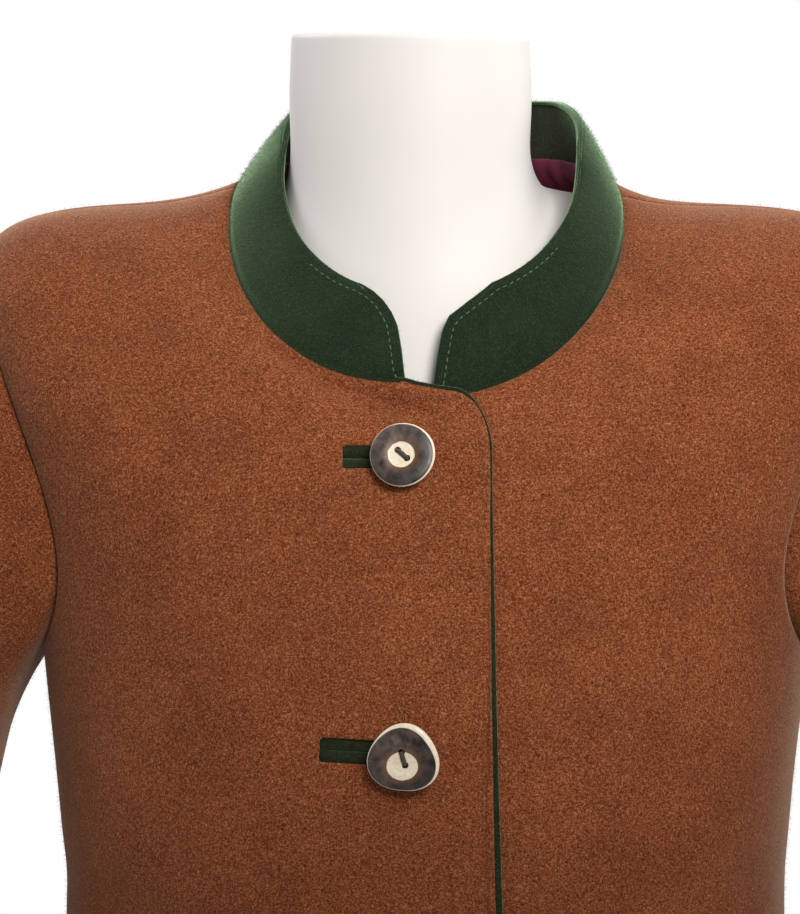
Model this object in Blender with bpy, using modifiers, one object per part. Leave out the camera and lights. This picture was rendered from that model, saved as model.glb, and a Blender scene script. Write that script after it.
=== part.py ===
"""A tyrolean loden jacket, buttoned, on a white limbless dress form with a round stand.

Metres, +Z up. The front faces -Y and the wearer's right side is at -X. The origin is the middle
of the stand's underside. The cloth is modelled as thin walls over horizontal-to-tilted rings,
which run from the hem up to the neck seam.
"""

import math
from collections import namedtuple

import bmesh
import bpy
import numpy as np
from mathutils import Matrix, Vector

MM = 0.001

# ---- driving dimensions, in millimetres unless a name says otherwise -------------------------
SHOULDER_HEIGHT = 800.0   # from the floor to the point where neck seam and shoulder seam meet
CLOTH = 2.0               # wall of the milled loden
FELT = 1.4                # wall of each collar layer
LINING = 1.0
SEAM_GAP = 0.3
LAYER_GAP = 0.5           # between the collar's two layers
SEAM_SPACE = 1.1          # between the middles of two walls, which lean together at a bent seam
LAP = 1.5                 # each front moves this far where they lap, one out and one in
LAP_WIDTH = 45.0          # half width of the lapped zone about the centre front
LAP_FADE = 60.0           # the move dies out over this distance

FRONT_EDGE = 31.6         # the over front's edge, past the centre front
EDGE_LEAN = 0.017         # the edge hangs a little off plumb, towards the wearer's left
LEAN_START = -118.0       # height where the lean starts
CORNER_WIDTH = 17.0       # rounded top corner of the over front
CORNER_HEIGHT = 26.0
COLUMN_STOP = -24.0       # the upright columns of a front's grid end here
TRIM_START = -4.0         # where the felt edge starts, just inside the collar's end
TOP_FALL = 0.20           # fall of the over front's free top edge
TOP_DROP = 1.5            # of that edge below the neck seam's own line
UNDER_SAG = 5.0           # the under front hangs this much lower at the neck
COLLAR_ROLL = 1.0         # how far the collar swells out at half its height
UNDER_TUCK = 3.0          # the under lap stays this far below the over front's top edge

BUTTONHOLE_PAST = 8.0     # the holes run on this far past the button's centre
BUTTONHOLE_HEIGHT = 10.6
WELT_STOP = 6.5           # the welts end this far before the button's centre
BUTTON_THICKNESS = 4.4
BUTTON_STAND = 2.2        # from the over front's outer face to the button's back
THREAD_HOLE = 2.6         # diameter
THREAD_HOLE_SPACING = 4.8
THREAD = 1.9              # diameter of the thread bundle
THREAD_FOOT = 1.0         # from the under front to the thread's ends
TRIM = 2.0                # diameter of the felt edge

ARMHOLE_HALF_ANGLE = 31.0  # degrees
SLEEVE_STAND = 2.0        # from the middle of the armhole's edge to the sleeve's first ring
LINING_DEPTH = 75.0       # below the back neck seam

BASE_RADIUS = 155.0
BASE_THICKNESS = 16.0
POLE_RADIUS = 17.0
FORM_BOTTOM = -606.0      # below the shoulder height, like every height that follows
NECK_TOP_TILT = 0.6       # degrees, the neck's flat cut is a little off level

# Rings of the jacket. front_z, side_z and back_z are heights at the centre front, the side and
# the centre back, and tilt is the rise at the side for each front-to-side reach; half_width is
# along X; front_y and back_y are the reach of the ring and middle_y is where it is widest; square
# and square_back are 2 for an ellipse and more for a squarer half; seam is the angle of side seam
# or shoulder seam, from the centre front.
Ring = namedtuple(
    "Ring",
    "name front_z side_z back_z tilt half_width middle_x middle_y front_y back_y square square_back seam",
)

JACKET = (
    Ring("hem", -588, -588, -590, 0, 188, 0, 0, -124, 122, 2.3, 2.3, 92),
    Ring("hip", -520, -520, -520, 0, 184, 0, 0, -122, 116, 2.3, 2.3, 92),
    Ring("waist", -400, -400, -400, 0, 160, 0, -4, -114, 90, 2.3, 2.3, 92),
    Ring("ribs", -325, -325, -325, 0, 158, 0, -8, -121, 93, 2.4, 2.4, 92),
    Ring("bust", -262, -262, -262, 0, 162, 0, -10, -127, 99, 2.5, 2.4, 92),
    Ring("armpit", -200, -207, -195, 2, 168, 0, -10, -118, 103, 2.4, 2.4, 92),
    Ring("chest", -168, -120, -140, 14, 181, 0, -10, -109, 102, 2.3, 2.3, 94),
    Ring("shoulder_tip", -140, -33, -92, 24, 195, 0, -8, -101, 94, 2.1, 2.1, 96),
    Ring("mid_shoulder", -112, -17.5, -43, 34, 140, 0, -10, -90, 83, 2.1, 2.1, 100),
    Ring("neck_side", -98, -19, -21, 41, 106, 0.3, -11, -83, 73, 2.15, 2.1, 102),
    Ring("neck_seam", -87, -19.5, 4, 57, 86.8, 0.3, -12, -78, 66, 2.2, 2.0, 104),
)
COLLAR_TOP = Ring("collar_top", -50, 8, 33.5, 57, 66, 1.5, -10, -60, 52, 2.15, 3.1, 104)

FORM = (
    Ring("bottom", -606, -606, -606, 0, 168, 0, 0, -104, 104, 2.2, 2.2, 90),
    Ring("hip", -520, -520, -520, 0, 171, 0, 0, -108, 103, 2.2, 2.2, 90),
    Ring("waist", -400, -400, -400, 0, 142, 0, -4, -98, 76, 2.2, 2.2, 90),
    Ring("ribs", -325, -325, -325, 0, 144, 0, -8, -108, 82, 2.3, 2.3, 90),
    Ring("bust", -262, -262, -262, 0, 151, 0, -10, -117, 89, 2.4, 2.3, 90),
    Ring("armpit", -198, -205, -193, 2, 158, 0, -10, -109, 94, 2.3, 2.3, 90),
    Ring("chest", -166, -120, -140, 14, 172, 0, -10, -102, 93, 2.2, 2.2, 90),
    Ring("shoulder_tip", -142, -41, -98, 23, 187, 0, -8, -95, 86, 2.1, 2.1, 90),
    Ring("mid_shoulder", -117, -24, -49, 33, 137, 0, -10, -84, 75, 2.1, 2.1, 90),
    Ring("collar_line", -92, -24, -12, 50, 84, 0, -12, -69, 55, 2.15, 2.1, 90),
    Ring("neck_root", -48, -15, 5, 32, 61.5, -5.5, -8, -54, 46, 2.1, 2.1, 90),
    Ring("neck_low", -22, 3, 22, 22, 54, -7, -5, -50, 42, 2.1, 2.1, 90),
    Ring("neck_middle", 26, 31, 40, 8, 53.4, -7, -5, -49, 41, 2.1, 2.1, 90),
    Ring("neck_top", 63, 63, 63, 0, 52.2, -7.2, -5, -49, 41, 2.1, 2.1, 90),
)

# The collar's front ends: distance from the centre front at shares of the collar's height. The
# left end is cut squarer than the right one.
CollarEnd = namedtuple("CollarEnd", "share right left")
COLLAR_END = (
    CollarEnd(0.0, 6.3, 6.3),
    CollarEnd(0.35, 8.6, 7.9),
    CollarEnd(0.62, 11.0, 9.6),
    CollarEnd(0.76, 13.8, 12.2),
    CollarEnd(0.88, 17.6, 20.0),
    CollarEnd(0.96, 22.0, 26.5),
    CollarEnd(1.0, 27.0, 30.0),
)

# Rings of a hanging sleeve, on the left (+X) side. The inner point is on the body's side and the
# outer point away from it, both in the XZ plane; half_depth is along Y about middle_y.
SleeveRing = namedtuple("SleeveRing", "name inner_x inner_z outer_x outer_z middle_y half_depth")

SLEEVE = (
    SleeveRing("armhole", 170, -207, 197, -30, -9, 62),
    SleeveRing("cap", 177, -217, 224, -34, -9, 62),
    SleeveRing("crown", 183, -231, 246, -57, -9, 61),
    SleeveRing("deltoid", 188, -249, 260, -101, -10, 59),
    SleeveRing("biceps", 194, -281, 268, -178, -11, 57),
    SleeveRing("elbow", 204, -392, 281, -360, -17, 51),
    SleeveRing("forearm", 210, -500, 286, -490, -28, 47),
    SleeveRing("cuff", 214, -604, 284, -610, -42, 43),
)

# One row for each button. x and z are its centre; hole_start is the buttonhole's outer end and
# slant its rise towards the edge; turn is the angle of the thread bar, clockwise from upright;
# tilt leans the button's face towards tilt_to. Angles are in degrees.
Button = namedtuple("Button", "x z width height hole_start slant turn tilt tilt_to")

BUTTONS = (
    Button(-5, -119, 28, 28, -32, 0, -48, 6, 225),
    Button(-2.6, -241.5, 32, 30, -39, -3, -17, 9, 235),
    Button(-5, -374, 29, 28, -35, 0, -30, 5, 225),
    Button(-5, -503, 28, 29, -35, 0, 20, 5, 240),
)

BROWN = (0.245, 0.083, 0.036)
GREEN = (0.031, 0.070, 0.030)
BURGUNDY = (0.080, 0.012, 0.024)
HORN = (0.050, 0.036, 0.028)
THREAD_OLIVE = (0.040, 0.034, 0.022)
WHITE = (0.86, 0.85, 0.83)
STEEL = (0.55, 0.55, 0.55)


# ---- curves through the ring tables ----------------------------------------------------------
def natural_spline(knots, values):
    """A function for the smooth curve through values at the knots, with no bend at its ends."""
    knots = np.asarray(knots, float)
    values = np.asarray(values, float)
    count = len(knots)
    step = np.diff(knots)
    system = np.eye(count)
    right = np.zeros(count)
    for i in range(1, count - 1):
        system[i, i - 1:i + 2] = step[i - 1], 2 * (step[i - 1] + step[i]), step[i]
        right[i] = 6 * ((values[i + 1] - values[i]) / step[i] - (values[i] - values[i - 1]) / step[i - 1])
    bend = np.linalg.solve(system, right)

    def curve(at):
        i = np.clip(np.searchsorted(knots, at, side="right") - 1, 0, count - 2)
        low = (knots[i + 1] - at) / step[i]
        high = (at - knots[i]) / step[i]
        cubic = (low ** 3 - low) * bend[i] + (high ** 3 - high) * bend[i + 1]
        return low * values[i] + high * values[i + 1] + cubic * step[i] ** 2 / 6

    return curve


def ring_point(ring, angle):
    """A point of one ring. angle is in degrees from the centre front, positive towards +X."""
    sine = np.sin(np.radians(angle))
    cosine = np.cos(np.radians(angle))
    square = ring.square if cosine > 0 else ring.square_back
    across = np.sign(sine) * np.abs(sine) ** (2 / square)
    along = -np.sign(cosine) * np.abs(cosine) ** (2 / square)
    reach = ring.back_y - ring.middle_y if along > 0 else ring.middle_y - ring.front_y
    arch = ring.back_z - ring.side_z - ring.tilt if along > 0 else ring.front_z - ring.side_z + ring.tilt
    return np.array((
        ring.middle_x + ring.half_width * across,
        ring.middle_y + reach * along,
        ring.side_z + ring.tilt * along + arch * along ** 2,
    ))


def ring_spacing(rings):
    """How far up the surface each ring lies, as the mean over its front, side and back."""
    corners = np.array([[ring_point(ring, angle) for angle in (0, 90, 180)] for ring in rings])
    steps = np.linalg.norm(np.diff(corners, axis=0), axis=2).mean(axis=1)
    return np.concatenate(([0.0], np.cumsum(steps)))


class Surface:
    """The smooth surface through a table of rings; level is the distance up it."""

    def __init__(self, rings):
        self.levels = ring_spacing(rings)
        self.at = {ring.name: level for ring, level in zip(rings, self.levels)}
        self.columns = {
            field: natural_spline(self.levels, [getattr(ring, field) for ring in rings])
            for field in Ring._fields[1:]
        }

    def ring(self, level):
        return Ring("between", *(self.columns[field](level) for field in Ring._fields[1:]))

    def point(self, angle, level):
        return ring_point(self.ring(level), angle)

    def normal(self, angle, level):
        turn = 0.5 if angle < 179 else -0.5
        climb = 1.0 if level < self.levels[-1] - 1.5 else -1.0
        here = self.point(angle, level)
        around = (self.point(angle + turn, level) - here) * math.copysign(1, turn)
        upward = (self.point(angle, level + climb) - here) * climb
        outward = np.cross(around, upward)
        return outward / np.linalg.norm(outward)

    def angle_at(self, x, level):
        """The angle on the front half where the ring at this level crosses x."""
        ring = self.ring(level)
        share = min(abs(x - ring.middle_x) / ring.half_width, 1.0)
        angle = math.degrees(math.asin(share ** (ring.square / 2)))
        return math.copysign(angle, x - ring.middle_x)

    def level_at(self, x, z):
        """The level on the front at this x and height."""
        low, high = 0.0, self.levels[-1]
        for _ in range(40):
            middle = (low + high) / 2
            if self.point(self.angle_at(x, middle), middle)[2] < z:
                low = middle
            else:
                high = middle
        return (low + high) / 2


jacket = Surface(JACKET)
form = Surface(FORM)
TOP = jacket.at["neck_seam"]


# ---- helpers for the cloth -------------------------------------------------------------------
def fade(distance, width):
    """1 at 0, falling smoothly to 0 at width."""
    share = min(max(distance / width, 0.0), 1.0)
    return 1 - share * share * (3 - 2 * share)


def lap(x, side):
    """How far a front stands off the plain surface: side -1 is the over front, 1 the under front."""
    return -side * LAP * fade(abs(x) - LAP_WIDTH, LAP_FADE)


def cloth_point(angle, level, side=0, out=0.0):
    """A point of the jacket's cloth, out being the distance to the middle of its wall."""
    point = jacket.point(angle, level)
    lift = out + (lap(point[0], side) if side else 0.0)
    return point + lift * jacket.normal(angle, level)


def sag(angle, level, side):
    """The under front's neckline hangs lower near the centre front."""
    if side != 1:
        return 0.0
    return UNDER_SAG * fade(abs(angle), 75) * (1 - fade(level - TOP + 60, 60))


def principled(name, colour, roughness, metallic=0.0, sheen=0.0):
    material = bpy.data.materials.new(name)
    material.use_nodes = True
    shader = material.node_tree.nodes["Principled BSDF"]
    shader.inputs["Base Color"].default_value = (*colour, 1)
    shader.inputs["Roughness"].default_value = roughness
    shader.inputs["Metallic"].default_value = metallic
    shader.inputs["Sheen Weight"].default_value = sheen
    material.diffuse_color = (*colour, 1)
    return material


def place(point):
    """From the tables' millimetres about the shoulder height to metres from the floor."""
    return Vector(point) * MM + Vector((0, 0, SHOULDER_HEIGHT * MM))


def add_object(name, data, material, collection):
    piece = bpy.data.objects.new(name, data)
    data.materials.append(material)
    collection.objects.link(piece)
    return piece


def grid_mesh(name, rows, closed=False):
    """A mesh through rows of points, each running the way the angle grows, from the bottom row up."""
    shape = bmesh.new()
    made = [[shape.verts.new(place(point)) for point in row] for row in rows]
    columns = len(rows[0])
    for low, high in zip(made, made[1:]):
        for i in range(columns if closed else columns - 1):
            j = (i + 1) % columns
            shape.faces.new((low[i], low[j], high[j], high[i]))
    mesh = bpy.data.meshes.new(name)
    shape.to_mesh(mesh)
    shape.free()
    mesh.shade_smooth()
    return mesh


def add_wall(name, rows, thickness, material, collection, closed=False):
    """A cloth wall with its middle on the grid."""
    piece = add_object(name, grid_mesh(name, rows, closed), material, collection)
    wall = piece.modifiers.new("Wall", "SOLIDIFY")
    wall.thickness = thickness * MM
    wall.offset = 0
    wall.use_even_offset = True
    return piece


def add_solid_rings(name, rows, material, collection):
    """A closed solid through rings, with flat caps at both ends."""
    mesh = grid_mesh(name, rows, closed=True)
    shape = bmesh.new()
    shape.from_mesh(mesh)
    bmesh.ops.holes_fill(shape, edges=[edge for edge in shape.edges if edge.is_boundary])
    bmesh.ops.recalc_face_normals(shape, faces=shape.faces)
    shape.to_mesh(mesh)
    shape.free()
    mesh.shade_smooth()
    return add_object(name, mesh, material, collection)


# ---- levels of the panels' rows --------------------------------------------------------------
ARMPIT = jacket.at["armpit"]
TIP = jacket.at["shoulder_tip"]


def panel_levels():
    body = np.linspace(0, ARMPIT, 9)[:-1]
    turn = np.linspace(0, math.pi, 9)
    armhole = ARMPIT + (TIP - ARMPIT) * (1 - np.cos(turn)) / 2
    shoulder = np.linspace(TIP, TOP, 6)[1:]
    return [*body, *armhole, *shoulder]


def armhole_angle(level):
    """Half of the angle that the armhole takes at this level, about the seam line."""
    share = (level - ARMPIT) / (TIP - ARMPIT)
    if not 0 < share < 1:
        return 0.0
    return ARMHOLE_HALF_ANGLE * (1 - abs(2 * share - 1) ** 2.3) ** (1 / 2.3)


def seam_shift(level):
    """The angle of half the space at a seam, at this level."""
    return math.degrees(SEAM_SPACE / 2 / jacket.ring(level).half_width)


def outer_angle(level, front):
    """Where the front or the back panel ends: side seam, armhole, then shoulder seam."""
    seam = float(jacket.ring(level).seam)
    away = armhole_angle(level) + seam_shift(level)
    return seam - away if front else seam + away


def over_top_drop(x):
    """How far the over front's top edge lies below the neck ring, past the centre front."""
    drop = max(x, 0.0) * TOP_FALL + TOP_DROP * (1 - fade(x + COLLAR_END[0].right, COLLAR_END[0].right))
    share = min(max((x - FRONT_EDGE + CORNER_WIDTH) / CORNER_WIDTH, 0.0), 1.0)
    return drop + CORNER_HEIGHT * (1 - math.sqrt(1 - share * share))


def edge_columns(side):
    """x of the columns near the centre front, from the lapped edge to where the plain grid starts."""
    corner = [
        FRONT_EDGE - CORNER_WIDTH * (1 - math.sin(math.radians(turn)))
        for turn in (90, 68, 48, 30, 12)
    ]
    edge = [*corner, COLLAR_END[0].right, TRIM_START, COLUMN_STOP]
    return [side * -1 * x for x in edge] if side == 1 else edge


def leaned(x, level, side):
    """The columns near the over front's edge follow its lean, less and less away from the edge."""
    if side == 1:
        return x
    share = (x - COLUMN_STOP) / (FRONT_EDGE - COLUMN_STOP)
    return x + share * EDGE_LEAN * max(LEAN_START - float(jacket.ring(level).front_z), 0.0)


def front_top_level(x, side):
    """The highest level of a front panel in the column at x."""
    if side == -1:
        drop = over_top_drop(x)
    else:
        drop = UNDER_TUCK * fade(x + COLLAR_END[0].right, 2 * COLLAR_END[0].right)
        drop += 2 * TOP_FALL * max(-x - COLLAR_END[0].right, 0)
    if drop <= 0:
        return TOP
    height = jacket.point(jacket.angle_at(x, TOP), TOP)[2]
    return jacket.level_at(x, height - drop)


def front_rows(side, out=0.0):
    """The grid of a front panel: side -1 is the wearer's right, over front, 1 the left, under."""
    near = edge_columns(side)
    plain = 7
    low_mark = jacket.at["bust"]
    tops = [front_top_level(x, side) for x in near]
    rows = []
    for level in panel_levels():
        row = []
        for x, top in zip(near, tops):
            here = level
            if level > low_mark:
                here = low_mark + (level - low_mark) * (top - low_mark) / (TOP - low_mark)
            angle = jacket.angle_at(leaned(x, here, side), here)
            row.append(cloth_point(angle, here, side, out) - (0, 0, sag(angle, here, side)))
        start = jacket.angle_at(near[-1], level)
        seam = side * float(jacket.ring(level).seam)
        cut = side * outer_angle(level, front=True) - seam
        for step in range(1, plain + 1):
            share = step / plain
            angle = start + (seam - start) * share + cut * share ** 3
            row.append(cloth_point(angle, level, side, out) - (0, 0, sag(angle, level, side)))
        rows.append(row if side == 1 else row[::-1])
    return rows


def back_rows(levels, out=0.0, skip=0):
    """The grid of the back, or of a layer inside it that leaves out skip columns at each side."""
    columns = 18
    rows = []
    for level in levels:
        start = outer_angle(level, front=False)
        angles = np.linspace(start, 360 - start, columns + 1)[skip:columns + 1 - skip]
        rows.append([back_point(angle, level, out) for angle in angles])
    return rows


def back_point(angle, level, out=0.0):
    """The back runs through 180 degrees, which the normal reads as the mirrored side past there."""
    if angle <= 180:
        return cloth_point(angle, level, 0, out)
    return cloth_point(360 - angle, level, 0, out) * (-1, 1, 1)


# ---- the jacket's pieces ---------------------------------------------------------------------
def armhole_loop():
    """The armhole's edge on the left (+X) side, from the armpit up the front and down the back."""
    turn = np.linspace(0, math.pi, 9)
    levels = ARMPIT + (TIP - ARMPIT) * (1 - np.cos(turn)) / 2
    seams = [float(jacket.ring(level).seam) for level in levels]
    rise = [cloth_point(seam - armhole_angle(level), level) for seam, level in zip(seams, levels)]
    fall = [cloth_point(seam + armhole_angle(level), level) for seam, level in zip(seams, levels)]
    return rise, fall[-2:0:-1]


def sleeve_rows():
    """Rings of the left sleeve from the cuff up to the armhole, each starting at the inner point."""
    spacing = np.concatenate(([0.0], np.cumsum([
        math.dist((a.outer_x, a.outer_z), (b.outer_x, b.outer_z)) + 20
        for a, b in zip(SLEEVE, SLEEVE[1:])
    ])))
    columns = {
        field: natural_spline(spacing, [getattr(ring, field) for ring in SLEEVE])
        for field in SleeveRing._fields[1:]
    }
    rise, fall = armhole_loop()
    edge = np.array(rise + fall)
    count = len(edge)
    turns = np.arange(count) * 2 * math.pi / count
    start = sleeve_ring(columns, 0.0, turns)
    rows = []
    for share in np.linspace(1, 0, 15):
        at = spacing[-1] * share ** 1.25
        ring = sleeve_ring(columns, at, turns)
        ring += (edge - start) * fade(at, spacing[3])
        ring[:, 0] += SLEEVE_STAND * fade(at, 60)
        rows.append(ring)
    return rows


def sleeve_ring(columns, at, turns):
    row = {field: float(curve(at)) for field, curve in columns.items()}
    inner = np.array((row["inner_x"], row["middle_y"], row["inner_z"]))
    outer = np.array((row["outer_x"], row["middle_y"], row["outer_z"]))
    depth = np.array((0, -row["half_depth"], 0))
    middle = (inner + outer) / 2
    half = (inner - outer) / 2
    return np.array([middle + half * math.cos(turn) + depth * math.sin(turn) for turn in turns])


def collar_point(angle, share, side, out):
    """share is 0 at the neck seam and 1 at the collar's top edge."""
    base = cloth_point(angle, TOP, side) - (0, 0, sag(angle, TOP, side))
    top = ring_point(COLLAR_TOP, angle)
    start = ring_point(COLLAR_TOP, angle - 0.5)
    along = ring_point(COLLAR_TOP, angle + 0.5) - start
    upward = top - base
    face = np.cross(along, upward)
    face /= np.linalg.norm(face)
    roll = COLLAR_ROLL * 4 * share * (1 - share)
    lift = upward / np.linalg.norm(upward) * (CLOTH / 2 + SEAM_SPACE / 2)
    return base + lift + (upward - lift) * share + face * (out + roll)


def collar_end_angle(row, side):
    """The collar's ends lean apart and round over into the top edge."""
    half_gap = row.left if side == 1 else row.right
    ring = jacket.ring(TOP)
    width = ring.half_width + (COLLAR_TOP.half_width - ring.half_width) * row.share
    return side * math.degrees(math.asin((half_gap / width) ** (ring.square / 2)))


def collar_rows(side, out):
    """Half of the collar, from its front end to the centre back."""
    columns = 15
    rows = []
    for end in COLLAR_END:
        angles = np.linspace(collar_end_angle(end, side), side * 180, columns + 1)
        row = [collar_point(angle, end.share, side, out) for angle in angles]
        rows.append(row if side == 1 else row[::-1])
    return rows


def whole_collar_rows(out):
    """Both halves joined at the centre back, as the inner collar is cut."""
    left = collar_rows(1, out)
    right = collar_rows(-1, out)
    return [a + b[1:] for a, b in zip(left, right)]


def trim_path():
    """Along the over front's free edge, from the collar's end round the corner and down to the hem."""
    rows = front_rows(-1)
    columns = len(rows[0])
    near = len(edge_columns(-1))
    top = [rows[-1][i] for i in range(columns - near + 1, columns)]
    side = [row[-1] for row in rows[-2::-1]]
    path = np.array(top + side)
    ahead = np.gradient(path, axis=0)
    ahead /= np.linalg.norm(ahead, axis=1)[:, None]
    facing = np.array([0, -1, 0.15])
    outward = np.cross(facing, ahead)
    outward /= np.linalg.norm(outward, axis=1)[:, None]
    return path + outward * (TRIM / 2 + SEAM_GAP)


def add_cord(name, path, diameter, material, collection, resolution=1):
    curve = bpy.data.curves.new(name, "CURVE")
    curve.dimensions = "3D"
    curve.bevel_depth = diameter / 2 * MM
    curve.bevel_resolution = resolution
    curve.use_fill_caps = True
    line = curve.splines.new("POLY")
    line.points.add(len(path) - 1)
    for point, where in zip(line.points, path):
        point.co = (*place(where), 1)
    return add_object(name, curve, material, collection)


def front_frame(x, z, side=-1, slant=0.0):
    """Position on a front panel, with the directions along (+X), up and out of the cloth there."""
    level = jacket.level_at(x, z)
    angle = jacket.angle_at(x, level)
    outward = Vector(jacket.normal(angle, level))
    along = Vector((1, 0, 0)) - outward * outward.x
    along.normalize()
    along.rotate(Matrix.Rotation(math.radians(slant), 3, outward))
    return Vector(cloth_point(angle, level, side)), along, outward.cross(along), outward


def buttonhole_height(row, x):
    """The height of a buttonhole's slit at x."""
    return row.z + math.tan(math.radians(row.slant)) * (x - row.x)


def add_buttonhole_cutter(index, row, collection):
    length = row.x + BUTTONHOLE_PAST - row.hole_start
    middle = row.hole_start + length / 2
    where, along, upward, outward = front_frame(middle, buttonhole_height(row, middle), slant=row.slant)
    shape = bmesh.new()
    bmesh.ops.create_cube(shape, size=1)
    axes = Matrix((along, upward, outward)).transposed().to_4x4()
    size = Matrix.Diagonal((length * MM, BUTTONHOLE_HEIGHT * MM, 7 * MM, 1))
    shape.transform(Matrix.Translation(place(where)) @ axes @ size)
    mesh = bpy.data.meshes.new(f"buttonhole_{index}_cut")
    shape.to_mesh(mesh)
    shape.free()
    cutter = bpy.data.objects.new(mesh.name, mesh)
    cutter.hide_render = True
    cutter.display_type = "WIRE"
    collection.objects.link(cutter)
    return cutter


def welt_rows(row, upper):
    """A welt follows the cloth: from the hole's outer end to short of the button's thread."""
    start = row.hole_start + SEAM_GAP
    stop = row.x - WELT_STOP
    low = SEAM_GAP / 2 if upper else -BUTTONHOLE_HEIGHT / 2 + SEAM_GAP
    high = BUTTONHOLE_HEIGHT / 2 - SEAM_GAP if upper else -SEAM_GAP / 2
    rows = []
    for offset in (low, high):
        line = []
        for x in np.linspace(start, stop, 4):
            where, _, upward, _ = front_frame(x, buttonhole_height(row, x), slant=row.slant)
            line.append(np.array(where + upward * offset))
        rows.append(line)
    return rows


def button_frame(row):
    """Where the button's back lies and how its face is turned."""
    where, along, upward, outward = front_frame(row.x, row.z)
    lean = math.radians(row.tilt_to)
    towards = along * math.cos(lean) + upward * math.sin(lean)
    face = outward.copy()
    face.rotate(Matrix.Rotation(math.radians(row.tilt), 3, outward.cross(towards)))
    across = (along - face * along.dot(face)).normalized()
    rise = face.cross(across)
    lean_room = math.sin(math.radians(row.tilt)) * max(row.width, row.height) / 2
    back = where + outward * (CLOTH / 2 + BUTTON_STAND + lean_room)
    axes = Matrix((across, rise, face)).transposed().to_4x4()
    return Matrix.Translation(place(back)) @ axes


# height above the back and share of the button's radius, down its outer side
ButtonRim = namedtuple("ButtonRim", "height share")
BUTTON_RIMS = (
    ButtonRim(BUTTON_THICKNESS - 0.5, 0.0),
    ButtonRim(BUTTON_THICKNESS - 0.4, 0.42),
    ButtonRim(BUTTON_THICKNESS, 0.55),
    ButtonRim(BUTTON_THICKNESS - 0.6, 0.95),
    ButtonRim(BUTTON_THICKNESS - 1.2, 1.0),
    ButtonRim(0.9, 0.94),
    ButtonRim(0.0, 0.80),
    ButtonRim(0.0, 0.0),
)


def thread_turn(row):
    return Matrix.Rotation(math.radians(90 - row.turn), 4, "Z")


def add_button(index, row, material, collection, cutters):
    """A turned slice of horn with two thread holes, stretched to its own width and height."""
    profile = bmesh.new()
    points = [profile.verts.new((rim.share, 0, rim.height * MM)) for rim in BUTTON_RIMS]
    for a, b in zip(points, points[1:]):
        profile.edges.new((a, b))
    bmesh.ops.spin(profile, geom=profile.edges[:] + profile.verts[:], axis=(0, 0, 1), cent=(0, 0, 0),
                   steps=22, angle=2 * math.pi)
    bmesh.ops.remove_doubles(profile, verts=profile.verts, dist=1e-6)
    bmesh.ops.recalc_face_normals(profile, faces=profile.faces)
    profile.transform(Matrix.Diagonal((row.width / 2 * MM, row.height / 2 * MM, 1, 1)))
    mesh = bpy.data.meshes.new(f"button_{index}")
    profile.to_mesh(mesh)
    profile.free()
    mesh.shade_smooth()
    piece = add_object(f"button_{index}", mesh, material, collection)
    piece.matrix_world = button_frame(row)
    for end in (-1, 1):
        hole = bmesh.new()
        bmesh.ops.create_cone(hole, cap_ends=True, segments=8, radius1=THREAD_HOLE / 2 * MM,
                              radius2=THREAD_HOLE / 2 * MM, depth=20 * MM)
        hole.transform(Matrix.Translation((end * THREAD_HOLE_SPACING / 2 * MM, 0, 0)))
        hole_mesh = bpy.data.meshes.new(f"button_{index}_hole")
        hole.to_mesh(hole_mesh)
        hole.free()
        cutter = bpy.data.objects.new(f"button_{index}_hole_{end}", hole_mesh)
        cutter.matrix_world = button_frame(row) @ thread_turn(row)
        cutter.hide_render = True
        cutter.display_type = "WIRE"
        cutters.objects.link(cutter)
        cut = piece.modifiers.new("Thread hole", "BOOLEAN")
        cut.operation = "DIFFERENCE"
        cut.object = cutter
    return piece


def add_thread(index, row, material, collection):
    """A staple of thread: up through one hole, across the face and down through the other."""
    frame = button_frame(row) @ thread_turn(row)
    reach = THREAD_HOLE_SPACING / 2 * MM
    crown = (BUTTON_THICKNESS - 0.4 + THREAD / 2 + 0.25) * MM
    where, _, _, outward = front_frame(row.x, row.z, side=1)
    under = place(where + outward * (CLOTH / 2 + THREAD_FOOT))
    ends = []
    for end in (-1, 1):
        hole = frame @ Vector((end * reach, 0, 0))
        foot = hole - outward * (hole - under).dot(outward)
        ends.append((foot, hole))
    over = [
        frame @ Vector((side * reach * spread, 0, crown - fall * MM))
        for side, spread, fall in ((-1, 1.0, 0.75), (-1, 0.72, 0.05), (1, 0.72, 0.05), (1, 1.0, 0.75))
    ]
    route = [*ends[0], *over, *ends[1][::-1]]
    path = [(point - Vector((0, 0, SHOULDER_HEIGHT * MM))) / MM for point in route]
    return add_cord(f"thread_{index}", path, THREAD, material, collection)


def back_lining_rows():
    """Plain lining inside the back neck, hung from the neck seam, on the back's own grid."""
    inward = -(CLOTH / 2 + SEAM_GAP + LINING / 2)
    return back_rows([level for level in panel_levels() if level > TOP - LINING_DEPTH], inward, 1)


# ---- the dress form --------------------------------------------------------------------------
def form_rows():
    angles = np.arange(32) * 360 / 32
    levels = np.concatenate([
        np.linspace(0, form.at["armpit"], 8)[:-1],
        np.linspace(form.at["armpit"], form.at["mid_shoulder"], 9)[:-1],
        np.linspace(form.at["mid_shoulder"], form.levels[-1], 10),
    ])
    rows = [np.array([form.point(angle, level) for angle in angles]) for level in levels]
    slope = math.tan(math.radians(NECK_TOP_TILT))
    rows[-1][:, 2] -= slope * (rows[-1][:, 0] - FORM[-1].middle_x)
    return rows


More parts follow.
